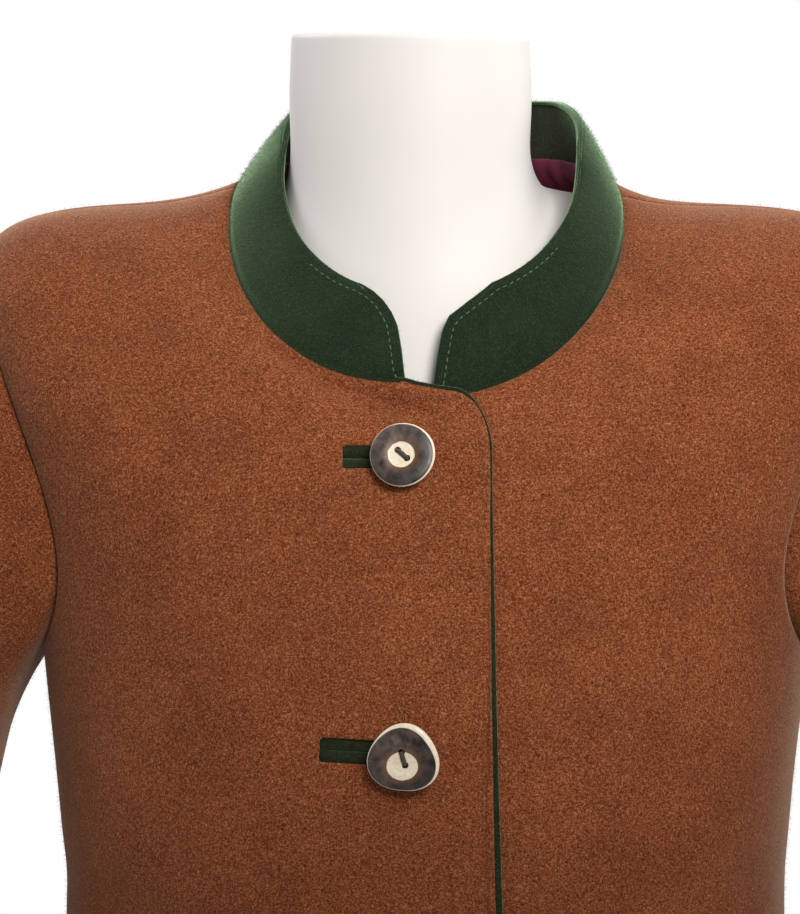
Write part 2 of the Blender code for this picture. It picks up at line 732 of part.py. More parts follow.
def add_stand(collection):
    steel = principled("stand_steel", STEEL, 0.35, metallic=1.0)
    coat = principled("stand_white", WHITE, 0.4)
    floor = -SHOULDER_HEIGHT
    base = bmesh.new()
    bmesh.ops.create_cone(base, cap_ends=True, segments=48, radius1=BASE_RADIUS * MM,
                          radius2=(BASE_RADIUS - 4) * MM, depth=BASE_THICKNESS * MM)
    base.transform(Matrix.Translation(place((0, 0, floor + BASE_THICKNESS / 2))))
    mesh = bpy.data.meshes.new("form_base")
    base.to_mesh(mesh)
    base.free()
    add_object("form_base", mesh, coat, collection)
    low = floor + BASE_THICKNESS + SEAM_GAP
    high = FORM_BOTTOM - SEAM_GAP
    pole = bmesh.new()
    bmesh.ops.create_cone(pole, cap_ends=True, segments=20, radius1=POLE_RADIUS * MM,
                          radius2=POLE_RADIUS * MM, depth=(high - low) * MM)
    pole.transform(Matrix.Translation(place((0, 0, (low + high) / 2))))
    mesh = bpy.data.meshes.new("form_pole")
    pole.to_mesh(mesh)
    pole.free()
    add_object("form_pole", mesh, steel, collection)


def mirrored(rows):
    """The same rows on the other side, turned so that they still run the way the angle grows."""
    return [np.array(row)[::-1] * (-1, 1, 1) for row in rows]


def main():
    for old in list(bpy.data.objects):
        bpy.data.objects.remove(old)
    parts = bpy.data.collections.new("loden_jacket")
    cutters = bpy.data.collections.new("cutters")
    bpy.context.scene.collection.children.link(parts)
    bpy.context.scene.collection.children.link(cutters)

    loden = {
        name: principled(f"loden_{name}", BROWN, 0.95, sheen=0.3)
        for name in ("over", "under", "back", "sleeve_right", "sleeve_left")
    }
    over = add_wall("front_right_over", front_rows(-1), CLOTH, loden["over"], parts)
    add_wall("front_left_under", front_rows(1), CLOTH, loden["under"], parts)
    add_wall("back", back_rows(panel_levels()), CLOTH, loden["back"], parts)
    sleeve = sleeve_rows()
    add_wall("sleeve_left", sleeve, CLOTH, loden["sleeve_left"], parts, closed=True)
    add_wall("sleeve_right", mirrored(sleeve), CLOTH, loden["sleeve_right"], parts, closed=True)

    felt = principled("felt_collar", GREEN, 0.95, sheen=0.3)
    inner_felt = principled("felt_inner_collar", GREEN, 0.95, sheen=0.3)
    outward = (FELT + LAYER_GAP) / 2
    add_wall("collar_outer", whole_collar_rows(outward), FELT, felt, parts)
    add_wall("collar_inner", whole_collar_rows(-outward), FELT, inner_felt, parts)
    burgundy = principled("lining_burgundy", BURGUNDY, 0.6, sheen=0.2)
    add_wall("back_neck_lining", back_lining_rows(), LINING, burgundy, parts)
    edge_felt = principled("felt_edge", GREEN, 0.95)
    add_cord("front_edge_trim", trim_path(), TRIM, edge_felt, parts)

    for index, row in enumerate(BUTTONS, 1):
        cut = over.modifiers.new(f"Buttonhole {index}", "BOOLEAN")
        cut.operation = "DIFFERENCE"
        cut.object = add_buttonhole_cutter(index, row, cutters)
        for upper in (True, False):
            place_name = "upper" if upper else "lower"
            welt_felt = principled(f"felt_welt_{index}_{place_name}", GREEN, 0.95)
            add_wall(f"welt_{index}_{place_name}", welt_rows(row, upper), CLOTH, welt_felt, parts)
        horn = principled(f"horn_{index}", HORN, 0.45)
        add_button(index, row, horn, parts, cutters)
        olive = principled(f"thread_{index}", THREAD_OLIVE, 0.8)
        add_thread(index, row, olive, parts)

    white = principled("form_white", WHITE, 0.35)
    add_solid_rings("form_body", form_rows(), white, parts)
    add_stand(parts)


main()
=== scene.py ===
# %% [markdown]
# # A loden jacket, worn by a white dress form
# The jacket is cut from milled wool, which is thick, soft and never shiny. Its collar, its welted
# buttonholes and a thin edging are green felt, and its buttons are slices of horn. The CAD model
# already holds every piece at its real size, so this lesson only rebuilds the cloth as fine, soft
# shells on the same lines and gives each thing its finish.

# %% Load the fixed frame
import math
from collections import namedtuple

import bmesh
import bpy
import numpy as np
from mathutils import Matrix, Vector


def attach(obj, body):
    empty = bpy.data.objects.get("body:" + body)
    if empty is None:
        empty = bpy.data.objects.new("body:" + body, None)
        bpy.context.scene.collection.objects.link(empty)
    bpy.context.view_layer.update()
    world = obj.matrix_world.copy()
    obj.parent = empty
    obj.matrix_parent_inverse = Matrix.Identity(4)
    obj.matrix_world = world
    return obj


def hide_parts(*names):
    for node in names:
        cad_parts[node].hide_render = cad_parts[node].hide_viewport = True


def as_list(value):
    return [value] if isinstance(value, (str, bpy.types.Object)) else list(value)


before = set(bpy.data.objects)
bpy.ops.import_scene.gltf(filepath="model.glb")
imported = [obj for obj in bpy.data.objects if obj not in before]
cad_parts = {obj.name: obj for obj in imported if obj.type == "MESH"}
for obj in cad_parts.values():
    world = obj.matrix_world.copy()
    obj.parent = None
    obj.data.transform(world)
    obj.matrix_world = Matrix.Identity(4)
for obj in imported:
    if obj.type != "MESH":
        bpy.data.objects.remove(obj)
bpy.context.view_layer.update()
print("nodes in the frame:", len(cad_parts))

MM = 0.001
SHOULDER = 0.8            # metres: height of the neck point that the cloth's tables count from
ROOT = "root"             # cloth has no joints, so everything rides on one body

# %% [markdown]
# ## The camera
# A long lens from two metres away keeps the collar's two sides in true proportion. The camera
# stands a little to the wearer's left and a little above the top button. Its place is worked out
# from a distance and two angles about the point it looks at.

# %% Camera
LOOK_AT = Vector((-0.0065, -0.097, SHOULDER - 0.117))
CAMERA_DISTANCE = 2.0
CAMERA_TURN = 3.2          # degrees, towards the wearer's left
CAMERA_RISE = 4.0          # degrees
LENS_LENGTH = 185.7        # millimetres on a 36 mm sensor


def direction(turn, rise):
    """The way from the object to something that stands at this turn and rise, in degrees."""
    turn, rise = math.radians(turn), math.radians(rise)
    return Vector((math.sin(turn) * math.cos(rise), -math.cos(turn) * math.cos(rise), math.sin(rise)))


def facing(where, target):
    return (target - where).to_track_quat("-Z", "Y").to_euler()


lens = bpy.data.cameras.new("camera")
lens.lens = LENS_LENGTH
lens.clip_end = 50
camera = bpy.data.objects.new("camera", lens)
camera.location = LOOK_AT + direction(CAMERA_TURN, CAMERA_RISE) * CAMERA_DISTANCE
camera.rotation_euler = facing(camera.location, LOOK_AT)
bpy.context.scene.collection.objects.link(camera)
bpy.context.scene.camera = camera
print("camera at", [round(value, 3) for value in camera.location])

# %% [markdown]
# ## The light
# The jacket hangs in a white studio: light comes from all round, so shadows are faint, and the
# wool's nap glows where it turns away. A world gives that: white behind the jacket, and dimmer
# in front and below, where the room and the floor take light away. A near lamp with a narrow beam
# stands in front, above the wearer's left, and makes the top brighter than the hem. Two more
# behind the shoulders light the nap's edge.

# %% World and lamps
scene = bpy.context.scene
scene.view_settings.view_transform = "Standard"
# how bright the dim sides are, and where the light dims: downwards, and towards the front
LOW_LIGHT, FRONT_LIGHT = 0.18, 0.22
LOW_BAND, FRONT_BAND = (-0.55, -0.18), (-0.60, 0.30)
world = bpy.data.worlds.new("white studio")
world.use_nodes = True
sky = world.node_tree
way = sky.nodes.new("ShaderNodeSeparateXYZ")
sky.links.new(sky.nodes.new("ShaderNodeTexCoord").outputs["Generated"], way.inputs["Vector"])


def light_band(socket, start, stop, dim):
    """Rises from dim to full light as one direction goes from start to stop."""
    band = sky.nodes.new("ShaderNodeMapRange")
    band.interpolation_type = "SMOOTHSTEP"
    for name, value in (("From Min", start), ("From Max", stop), ("To Min", dim), ("To Max", 1.0)):
        band.inputs[name].default_value = value
    sky.links.new(socket, band.inputs["Value"])
    return band.outputs["Result"]


both = sky.nodes.new("ShaderNodeMath")
both.operation = "MULTIPLY"
sky.links.new(light_band(way.outputs["Z"], *LOW_BAND, LOW_LIGHT), both.inputs[0])
sky.links.new(light_band(way.outputs["Y"], *FRONT_BAND, FRONT_LIGHT), both.inputs[1])
sky.links.new(both.outputs["Value"], sky.nodes["Background"].inputs["Strength"])
sky.nodes["Background"].inputs["Color"].default_value = (1, 1, 1, 1)
scene.world = world

Lamp = namedtuple("Lamp", "name turn rise distance size spread aim watts colour")
LAMPS = (
    Lamp("key above right", 22, 24, 1.00, 0.45, 58, 0.78, 1.4, (1.0, 0.97, 0.94)),
    Lamp("rim left", -112, 34, 1.4, 0.7, 180, 0.72, 8.0, (1.0, 1.0, 1.0)),
    Lamp("rim right", 116, 36, 1.4, 0.7, 180, 0.72, 7.0, (1.0, 1.0, 1.0)),
)


def add_lamp(row):
    lamp = bpy.data.lights.new(row.name, "AREA")
    lamp.energy = row.watts
    lamp.size = row.size
    lamp.spread = math.radians(row.spread)
    lamp.color = row.colour
    stand = bpy.data.objects.new(row.name, lamp)
    target = Vector((0, 0, row.aim))
    stand.location = target + direction(row.turn, row.rise) * row.distance
    stand.rotation_euler = facing(stand.location, target)
    scene.collection.objects.link(stand)


for lamp_row in LAMPS:
    add_lamp(lamp_row)
print("lamps:", len(LAMPS))

# %% [markdown]
# ## Small helpers for materials
# A material is a graph of nodes, and most graphs here are the same few steps: read a place, lay
# noise over it, turn the noise into colours. These helpers make one step each, so a finish reads
# like a recipe further down.

# %% Material helpers
def new_material(name, roughness):
    material = bpy.data.materials.new(name)
    material.use_nodes = True
    shader = material.node_tree.nodes["Principled BSDF"]
    shader.inputs["Roughness"].default_value = roughness
    return material, material.node_tree, shader


def add_node(tree, kind, settings=None, **sockets):
    """A new node with its settings, each socket given a value or joined to another node's output."""
    made = tree.nodes.new(kind)
    for name, value in (settings or {}).items():
        setattr(made, name, value)
    for name, value in sockets.items():
        connect(tree, value, made.inputs[name.replace("_", " ")])
    return made


def connect(tree, value, socket):
    if isinstance(value, bpy.types.NodeSocket):
        tree.links.new(value, socket)
    else:
        socket.default_value = value


def object_place(tree):
    return add_node(tree, "ShaderNodeTexCoord").outputs["Object"]


def stretched(tree, place, scale, turn=(0, 0, 0)):
    """The place scaled unevenly, so that noise on it runs in streaks."""
    return add_node(tree, "ShaderNodeMapping", Vector=place, Scale=scale, Rotation=turn).outputs["Vector"]


def noise(tree, place, scale, detail=2.0, roughness=0.5, distortion=0.0):
    return add_node(tree, "ShaderNodeTexNoise", Vector=place, Scale=scale, Detail=detail,
                    Roughness=roughness, Distortion=distortion).outputs["Fac"]


def ramp(tree, factor, *stops):
    """Colours or greys at places from 0 to 1."""
    made = add_node(tree, "ShaderNodeValToRGB", Fac=factor)
    points = made.color_ramp.elements
    while len(points) < len(stops):
        points.new(0.5)
    for point, (at, colour) in zip(points, stops):
        point.position = at
        point.color = (*colour, 1) if isinstance(colour, tuple) else (colour, colour, colour, 1)
    return made.outputs["Color"]


def blend(tree, share, under, over, kind="MIX"):
    made = add_node(tree, "ShaderNodeMix", {"data_type": "RGBA", "blend_type": kind})
    connect(tree, share, made.inputs["Factor"])
    for value, socket in ((under, made.inputs[6]), (over, made.inputs[7])):
        connect(tree, (*value, 1) if isinstance(value, tuple) else value, socket)
    return made.outputs[2]


def maths(tree, kind, first, second=0.0):
    made = add_node(tree, "ShaderNodeMath", {"operation": kind})
    connect(tree, first, made.inputs[0])
    connect(tree, second, made.inputs[1])
    return made.outputs[0]


def bump(tree, shader, height, distance, strength):
    made = add_node(tree, "ShaderNodeBump", Height=height, Distance=distance, Strength=strength)
    connect(tree, made.outputs["Normal"], shader.inputs["Normal"])


def set_sheen(shader, weight, roughness, tint):
    shader.inputs["Sheen Weight"].default_value = weight
    shader.inputs["Sheen Roughness"].default_value = roughness
    shader.inputs["Sheen Tint"].default_value = (*tint, 1)


# %% [markdown]
# ## Loden
# Loden is spun from fleece of several browns and then milled until the weave disappears under a
# short nap. From near it is a heather: rust, orange, tan and nearly black fibres lie across each
# other with no repeat. Noise gives the same: its place is first bent by a coarser noise and then
# stretched, so the streaks run every way, and two such layers cross each other.

# %% Loden material
def fibre_layers(tree, place, bend, coarse, fine):
    """Two crossing layers of short streaks and a fine grain, each from 0 to 1."""
    swirl = add_node(tree, "ShaderNodeTexNoise", Vector=place, Scale=coarse, Detail=1.0)
    moved = add_node(tree, "ShaderNodeVectorMath", {"operation": "SCALE"}, Vector=swirl.outputs["Color"],
                     Scale=bend)
    bent = add_node(tree, "ShaderNodeVectorMath", {"operation": "ADD"})
    connect(tree, place, bent.inputs[0])
    connect(tree, moved.outputs["Vector"], bent.inputs[1])
    bent = bent.outputs["Vector"]
    across = noise(tree, stretched(tree, bent, (0.62, 0.9, 1.25), (0, 0.5, 0)), fine, 2.0, 0.6)
    upward = noise(tree, stretched(tree, bent, (1.25, 0.9, 0.62), (0, 0.35, 0)), fine, 2.0, 0.6)
    grain = noise(tree, place, fine * 1.7, 2.0, 0.65)
    return across, upward, grain


def make_loden():
    material, tree, shader = new_material("loden", 0.95)
    place = object_place(tree)
    across, upward, grain = fibre_layers(tree, place, 0.003, 160.0, 1450.0)
    base = ramp(tree, across, (0.34, (0.060, 0.014, 0.005)), (0.46, (0.150, 0.036, 0.011)),
                (0.55, (0.270, 0.066, 0.017)), (0.64, (0.430, 0.170, 0.072)))
    second = ramp(tree, upward, (0.34, (0.050, 0.018, 0.009)), (0.46, (0.140, 0.034, 0.012)),
                  (0.56, (0.255, 0.070, 0.022)), (0.66, (0.400, 0.190, 0.100)))
    heather = blend(tree, 0.5, base, second)
    speck = ramp(tree, grain, (0.36, 0.45), (0.50, 1.0), (0.64, 1.5))
    heather = blend(tree, 0.5, heather, speck, "MULTIPLY")
    patches = noise(tree, place, 38.0, 3.0, 0.55)
    tone = ramp(tree, patches, (0.30, (0.86, 0.84, 0.84)), (0.52, (1.0, 1.0, 1.0)),
                (0.72, (1.10, 1.09, 1.08)))
    heather = blend(tree, 1.0, heather, tone, "MULTIPLY")
    connect(tree, heather, shader.inputs["Base Color"])
    set_sheen(shader, 0.42, 0.38, (1.0, 0.74, 0.55))
    shader.inputs["Specular IOR Level"].default_value = 0.08
    height = maths(tree, "ADD", across, maths(tree, "ADD", upward, grain))
    bump(tree, shader, height, 0.0005, 0.45)
    return material


loden = make_loden()
print("material:", loden.name)

# %% [markdown]
# ## Felt, lining and thread
# The green felt is finer and softer than the loden. Its nap stands up, so it is nearly black seen
# straight on and much lighter where it turns away, which is what sheen is for. The lining is a
# smooth twill, whose fine slanting rib follows the piece's own UV map.

# %% Felt, lining and thread materials
def make_felt(name="green felt", dark=(0.006, 0.011, 0.005), light=(0.018, 0.031, 0.013), sheen=1.0):
    material, tree, shader = new_material(name, 0.95)
    place = object_place(tree)
    across, upward, grain = fibre_layers(tree, place, 0.015, 110.0, 700.0)
    fibres = maths(tree, "MULTIPLY", maths(tree, "ADD", across, upward), 0.5)
    colour = ramp(tree, fibres, (0.34, dark), (0.52, tuple((a + b) / 2.4 for a, b in zip(dark, light))),
                  (0.70, light))
    speck = ramp(tree, grain, (0.35, 0.70), (0.50, 1.0), (0.66, 1.30))
    colour = blend(tree, 0.7, colour, speck, "MULTIPLY")
    patches = ramp(tree, noise(tree, place, 45.0, 3.0), (0.35, 0.82), (0.65, 1.16))
    colour = blend(tree, 1.0, colour, patches, "MULTIPLY")
    connect(tree, colour, shader.inputs["Base Color"])
    set_sheen(shader, sheen, 0.42, (0.64, 1.0, 0.58))
    shader.inputs["Specular IOR Level"].default_value = 0.1
    height = maths(tree, "ADD", fibres, grain)
    bump(tree, shader, height, 0.0005, 0.5)
    return material


def make_lining():
    material, tree, shader = new_material("burgundy lining", 0.5)
    uv = add_node(tree, "ShaderNodeUVMap").outputs["UV"]
    rib = add_node(tree, "ShaderNodeTexWave", {"bands_direction": "DIAGONAL"}, Vector=uv, Scale=900.0)
    soft = noise(tree, object_place(tree), 120.0, 2.0)
    colour = ramp(tree, soft, (0.3, (0.095, 0.010, 0.026)), (0.7, (0.185, 0.020, 0.052)))
    connect(tree, colour, shader.inputs["Base Color"])
    set_sheen(shader, 0.35, 0.35, (1.0, 0.45, 0.60))
    bump(tree, shader, rib.outputs["Fac"], 0.00008, 0.6)
    return material


def make_thread(name, dark, light):
    material, tree, shader = new_material(name, 0.75)
    strands = noise(tree, stretched(tree, object_place(tree), (1, 1, 1.6)), 2600.0, 1.0)
    connect(tree, ramp(tree, strands, (0.38, dark), (0.62, light)), shader.inputs["Base Color"])
    set_sheen(shader, 0.3, 0.4, (1.0, 1.0, 0.9))
    bump(tree, shader, strands, 0.0001, 0.8)
    return material


felt = make_felt()
inner_felt = make_felt("green felt inside", (0.016, 0.016, 0.010), (0.044, 0.042, 0.027), 0.4)
edge_felt = make_felt("felt of the edge", (0.008, 0.011, 0.004), (0.026, 0.032, 0.014), 0.5)
lining_cloth = make_lining()
olive_thread = make_thread("olive thread", (0.020, 0.018, 0.010), (0.075, 0.068, 0.042))
green_thread = make_thread("green stitching", (0.070, 0.130, 0.062), (0.150, 0.240, 0.130))
brown_thread = make_thread("brown stitching", (0.030, 0.010, 0.004), (0.070, 0.022, 0.008))
print("materials:", felt.name, lining_cloth.name, olive_thread.name)

# %% [markdown]
# ## Horn, and the form's white shell
# A button is a slice across a horn's tip: a pale core, a dark brown ring with clouds and streaks,
# and a pale bevel where the rim is cut through. The mesh carries how far each point
# lies from those borders, in millimetres, and the material turns the distances into colours, so
# the borders stay sharp. The dress form is smooth moulded plastic with a faint mottle.

# %% Horn and form materials
def attribute(tree, name):
    return add_node(tree, "ShaderNodeAttribute", {"attribute_name": name}).outputs["Fac"]


def step_at_zero(tree, value, softness):
    """0 where the value is below 0 and 1 above it, with a short slope between."""
    return add_node(tree, "ShaderNodeMapRange", {"interpolation_type": "SMOOTHSTEP"}, Value=value,
                    From_Min=-softness, From_Max=softness).outputs["Result"]


def make_horn():
    material, tree, shader = new_material("horn", 0.4)
    place = object_place(tree)
    around = attribute(tree, "around")
    spokes = add_node(tree, "ShaderNodeCombineXYZ", X=maths(tree, "COSINE", around),
                      Y=maths(tree, "SINE", around),
                      Z=maths(tree, "MULTIPLY", attribute(tree, "radius"), 0.05))
    streak = noise(tree, spokes.outputs["Vector"], 2.0, 3.0, 0.55, 0.5)
    cloud = noise(tree, place, 260.0, 3.0, 0.6)
    dark = ramp(tree, streak, (0.34, (0.010, 0.006, 0.005)), (0.48, (0.034, 0.022, 0.018)),
                (0.66, (0.100, 0.070, 0.058)))
    clouded = ramp(tree, cloud, (0.38, (0.010, 0.006, 0.005)), (0.62, (0.085, 0.060, 0.052)))
    dark = blend(tree, 0.55, dark, clouded)
    # Painted light and shade: on every button the dark ring is made lighter towards the upper left, seen from
    # the front, and darker towards the lower right.
    painted_side_light = maths(tree, "COSINE", maths(tree, "SUBTRACT", around, 2.2))
    painted_side_light = ramp(tree, maths(tree, "ADD", maths(tree, "MULTIPLY", painted_side_light, 0.5), 0.5), (0.1, 0.55), (0.9, 1.5))
    dark = blend(tree, 1.0, dark, painted_side_light, "MULTIPLY")
    halo = add_node(tree, "ShaderNodeMapRange", Value=attribute(tree, "core"), From_Min=0.0, From_Max=3.2,
                    To_Min=0.75, To_Max=0.0).outputs["Result"]
    dark = blend(tree, halo, dark, (0.16, 0.075, 0.036))
    mottle = noise(tree, place, 700.0, 3.0, 0.6)
    cream = ramp(tree, mottle, (0.32, (0.70, 0.58, 0.42)), (0.60, (0.80, 0.70, 0.55)))
    wobble = maths(tree, "MULTIPLY", maths(tree, "SUBTRACT", noise(tree, place, 520.0, 2.0), 0.5), 0.5)
    outside_core = step_at_zero(tree, maths(tree, "ADD", attribute(tree, "core"), wobble), 0.16)
    outside_rind = step_at_zero(tree, attribute(tree, "rind"), 0.12)
    colour = blend(tree, outside_core, cream, dark)
    colour = blend(tree, outside_rind, colour, cream)
    connect(tree, colour, shader.inputs["Base Color"])
    polish = ramp(tree, cloud, (0.3, 0.30), (0.7, 0.46))
    connect(tree, polish, shader.inputs["Roughness"])
    bump(tree, shader, streak, 0.00012, 0.5)
    return material


def make_paint(name, colour, roughness, mottle_scale):
    material, tree, shader = new_material(name, roughness)
    low = tuple(value * 0.965 for value in colour)
    mottle = noise(tree, object_place(tree), mottle_scale, 3.0)
    connect(tree, ramp(tree, mottle, (0.35, low), (0.65, colour)), shader.inputs["Base Color"])
    shader.inputs["Specular IOR Level"].default_value = 0.35
    bump(tree, shader, noise(tree, object_place(tree), mottle_scale * 12, 2.0), 0.00006, 0.3)
    return material


def make_steel():
    material, tree, shader = new_material("brushed steel", 0.3)
    streak = noise(tree, stretched(tree, object_place(tree), (1, 1, 0.03)), 1800.0, 2.0)
    connect(tree, ramp(tree, streak, (0.3, (0.42, 0.42, 0.43)), (0.7, (0.62, 0.62, 0.62))),
            shader.inputs["Base Color"])
    connect(tree, ramp(tree, streak, (0.3, 0.24), (0.7, 0.38)), shader.inputs["Roughness"])
    shader.inputs["Metallic"].default_value = 1.0
    return material


horn = make_horn()
form_white = make_paint("form shell", (0.70, 0.672, 0.650), 0.5, 18.0)
stand_white = make_paint("stand coat", (0.80, 0.79, 0.77), 0.35, 25.0)
steel = make_steel()
print("materials:", horn.name, form_white.name, stand_white.name, steel.name)

# %% [markdown]
# ## The cloth's shape
# A tailor fits a jacket at a few heights: hip, waist, bust, chest, shoulder and neck. The table
# gives a ring at each, as half widths, reaches to the front and back, and heights at the front,
# side and back. Smooth curves through each column give every ring between. These are the CAD's
# own rings, so a shell built on them lies where its solid lies, only much finer.

# %% Rings and the smooth surface through them
Ring = namedtuple(
    "Ring",
    "name front_z side_z back_z tilt half_width middle_x middle_y front_y back_y square square_back seam",
)
JACKET = (
    Ring("hem", -588, -588, -590, 0, 188, 0, 0, -124, 122, 2.3, 2.3, 92),
    Ring("hip", -520, -520, -520, 0, 184, 0, 0, -122, 116, 2.3, 2.3, 92),
    Ring("waist", -400, -400, -400, 0, 160, 0, -4, -114, 90, 2.3, 2.3, 92),
    Ring("ribs", -325, -325, -325, 0, 158, 0, -8, -121, 93, 2.4, 2.4, 92),
    Ring("bust", -262, -262, -262, 0, 162, 0, -10, -127, 99, 2.5, 2.4, 92),
    Ring("armpit", -200, -207, -195, 2, 168, 0, -10, -118, 103, 2.4, 2.4, 92),
    Ring("chest", -168, -120, -140, 14, 181, 0, -10, -109, 102, 2.3, 2.3, 94),
    Ring("shoulder_tip", -140, -33, -92, 24, 195, 0, -8, -101, 94, 2.1, 2.1, 96),
    Ring("mid_shoulder", -112, -17.5, -43, 34, 140, 0, -10, -90, 83, 2.1, 2.1, 100),
    Ring("neck_side", -98, -19, -21, 41, 106, 0.3, -11, -83, 73, 2.15, 2.1, 102),
    Ring("neck_seam", -87, -19.5, 4, 57, 86.8, 0.3, -12, -78, 66, 2.2, 2.0, 104),
)
COLLAR_TOP = Ring("collar_top", -50, 8, 33.5, 57, 66, 1.5, -10, -60, 52, 2.15, 3.1, 104)
FORM = (
    Ring("bottom", -606, -606, -606, 0, 168, 0, 0, -104, 104, 2.2, 2.2, 90),
    Ring("hip", -520, -520, -520, 0, 171, 0, 0, -108, 103, 2.2, 2.2, 90),
    Ring("waist", -400, -400, -400, 0, 142, 0, -4, -98, 76, 2.2, 2.2, 90),
    Ring("ribs", -325, -325, -325, 0, 144, 0, -8, -108, 82, 2.3, 2.3, 90),
    Ring("bust", -262, -262, -262, 0, 151, 0, -10, -117, 89, 2.4, 2.3, 90),
    Ring("armpit", -198, -205, -193, 2, 158, 0, -10, -109, 94, 2.3, 2.3, 90),
    Ring("chest", -166, -120, -140, 14, 172, 0, -10, -102, 93, 2.2, 2.2, 90),
    Ring("shoulder_tip", -142, -41, -98, 23, 187, 0, -8, -95, 86, 2.1, 2.1, 90),
    Ring("mid_shoulder", -117, -24, -49, 33, 137, 0, -10, -84, 75, 2.1, 2.1, 90),
    Ring("collar_line", -92, -24, -12, 50, 84, 0, -12, -69, 55, 2.15, 2.1, 90),
    Ring("neck_root", -48, -15, 5, 32, 61.5, -5.5, -8, -54, 46, 2.1, 2.1, 90),
    Ring("neck_low", -22, 3, 22, 22, 54, -7, -5, -50, 42, 2.1, 2.1, 90),
    Ring("neck_middle", 26, 31, 40, 8, 53.4, -7, -5, -49, 41, 2.1, 2.1, 90),
    Ring("neck_top", 63, 63, 63, 0, 52.2, -7.2, -5, -49, 41, 2.1, 2.1, 90),
)


def natural_spline(knots, values):
    """A function for the smooth curve through values at the knots, with no bend at its ends."""
    knots, values = np.asarray(knots, float), np.asarray(values, float)
    step = np.diff(knots)
    system, right = np.eye(len(knots)), np.zeros(len(knots))
    for i in range(1, len(knots) - 1):
        system[i, i - 1:i + 2] = step[i - 1], 2 * (step[i - 1] + step[i]), step[i]
        right[i] = 6 * ((values[i + 1] - values[i]) / step[i] - (values[i] - values[i - 1]) / step[i - 1])
    bend = np.linalg.solve(system, right)

    def curve(at):
        i = np.clip(np.searchsorted(knots, at, side="right") - 1, 0, len(knots) - 2)
        low, high = (knots[i + 1] - at) / step[i], (at - knots[i]) / step[i]
        cubic = (low ** 3 - low) * bend[i] + (high ** 3 - high) * bend[i + 1]
        return low * values[i] + high * values[i + 1] + cubic * step[i] ** 2 / 6

    return curve


def unit(vectors):
    return vectors / np.linalg.norm(vectors, axis=-1, keepdims=True)


def ring_point(ring, angle):
    """Points of rings, at angles in degrees from the centre front, positive towards +X."""
    sine, cosine = np.sin(np.radians(angle)), np.cos(np.radians(angle))
    square = np.where(cosine > 0, ring.square, ring.square_back)
    across = np.sign(sine) * np.abs(sine) ** (2 / square)
    along = -np.sign(cosine) * np.abs(cosine) ** (2 / square)
    reach = np.where(along > 0, ring.back_y - ring.middle_y, ring.middle_y - ring.front_y)
    arch = np.where(along > 0, ring.back_z - ring.side_z - ring.tilt, ring.front_z - ring.side_z + ring.tilt)
    return np.stack(np.broadcast_arrays(
        ring.middle_x + ring.half_width * across,
        ring.middle_y + reach * along,
        ring.side_z + ring.tilt * along + arch * along ** 2,
    ), axis=-1)


class Surface:
    """The smooth surface through a table of rings; level is the distance up it, in millimetres."""

    def __init__(self, rings):
        corners = np.array([[ring_point(ring, angle) for angle in (0, 90, 180)] for ring in rings])
        steps = np.linalg.norm(np.diff(corners, axis=0), axis=2).mean(axis=1)
        self.levels = np.concatenate(([0.0], np.cumsum(steps)))
        self.at = {ring.name: level for ring, level in zip(rings, self.levels)}
        self.columns = {
            field: natural_spline(self.levels, [getattr(ring, field) for ring in rings])
            for field in Ring._fields[1:]
        }

    def ring(self, level):
        return Ring("between", *(self.columns[field](level) for field in Ring._fields[1:]))

    def point(self, angle, level):
        return ring_point(self.ring(level), angle)

    def normal(self, angle, level):
        around = self.point(angle + 0.3, level) - self.point(angle - 0.3, level)
        upward = self.point(angle, level + 0.6) - self.point(angle, level - 0.6)
        return unit(np.cross(around, upward))

    def angle_at(self, x, level):
        """The angle on the front half where the ring at this level crosses x."""
        ring = self.ring(level)
        share = np.minimum(np.abs(x - ring.middle_x) / ring.half_width, 1.0)
        angle = np.degrees(np.arcsin(share ** (ring.square / 2)))
        return np.sign(x - ring.middle_x) * angle

    def level_at(self, x, z):
        """The level on the front at this x and height, by halving the range it can lie in."""
        low, high = np.zeros_like(x * 1.0), np.full_like(x * 1.0, self.levels[-1])
        for _ in range(40):
            middle = (low + high) / 2
            below = self.point(self.angle_at(x, middle), middle)[..., 2] < z
            low, high = np.where(below, middle, low), np.where(below, high, middle)
        return (low + high) / 2


jacket = Surface(JACKET)
form = Surface(FORM)
TOP, ARMPIT, TIP = jacket.at["neck_seam"], jacket.at["armpit"], jacket.at["shoulder_tip"]
print("jacket from hem to neck seam:", round(TOP), "mm along the cloth")

# %% [markdown]
# ## From points to a shell of cloth
# A panel is a grid of points. The shell has the grid's outer and inner face, half a wall to either
# side, and a half round that joins them along every edge, because thick milled wool never ends in
# a sharp corner. Solidify and Bevel could do the same, but a Bevel tears where a grid's points lie
# close, as at a rounded corner. The UV map is the distance along the cloth in metres, so a weave
# drawn on it has its true scale.

# %% Grid and shell helpers
def place(points):
    """From the tables' millimetres about the neck point to metres from the floor."""
    return np.asarray(points, float) * MM + (0, 0, SHOULDER)


def link(name, data):
    made = bpy.data.objects.new(name, data)
    scene.collection.objects.link(made)
    return made


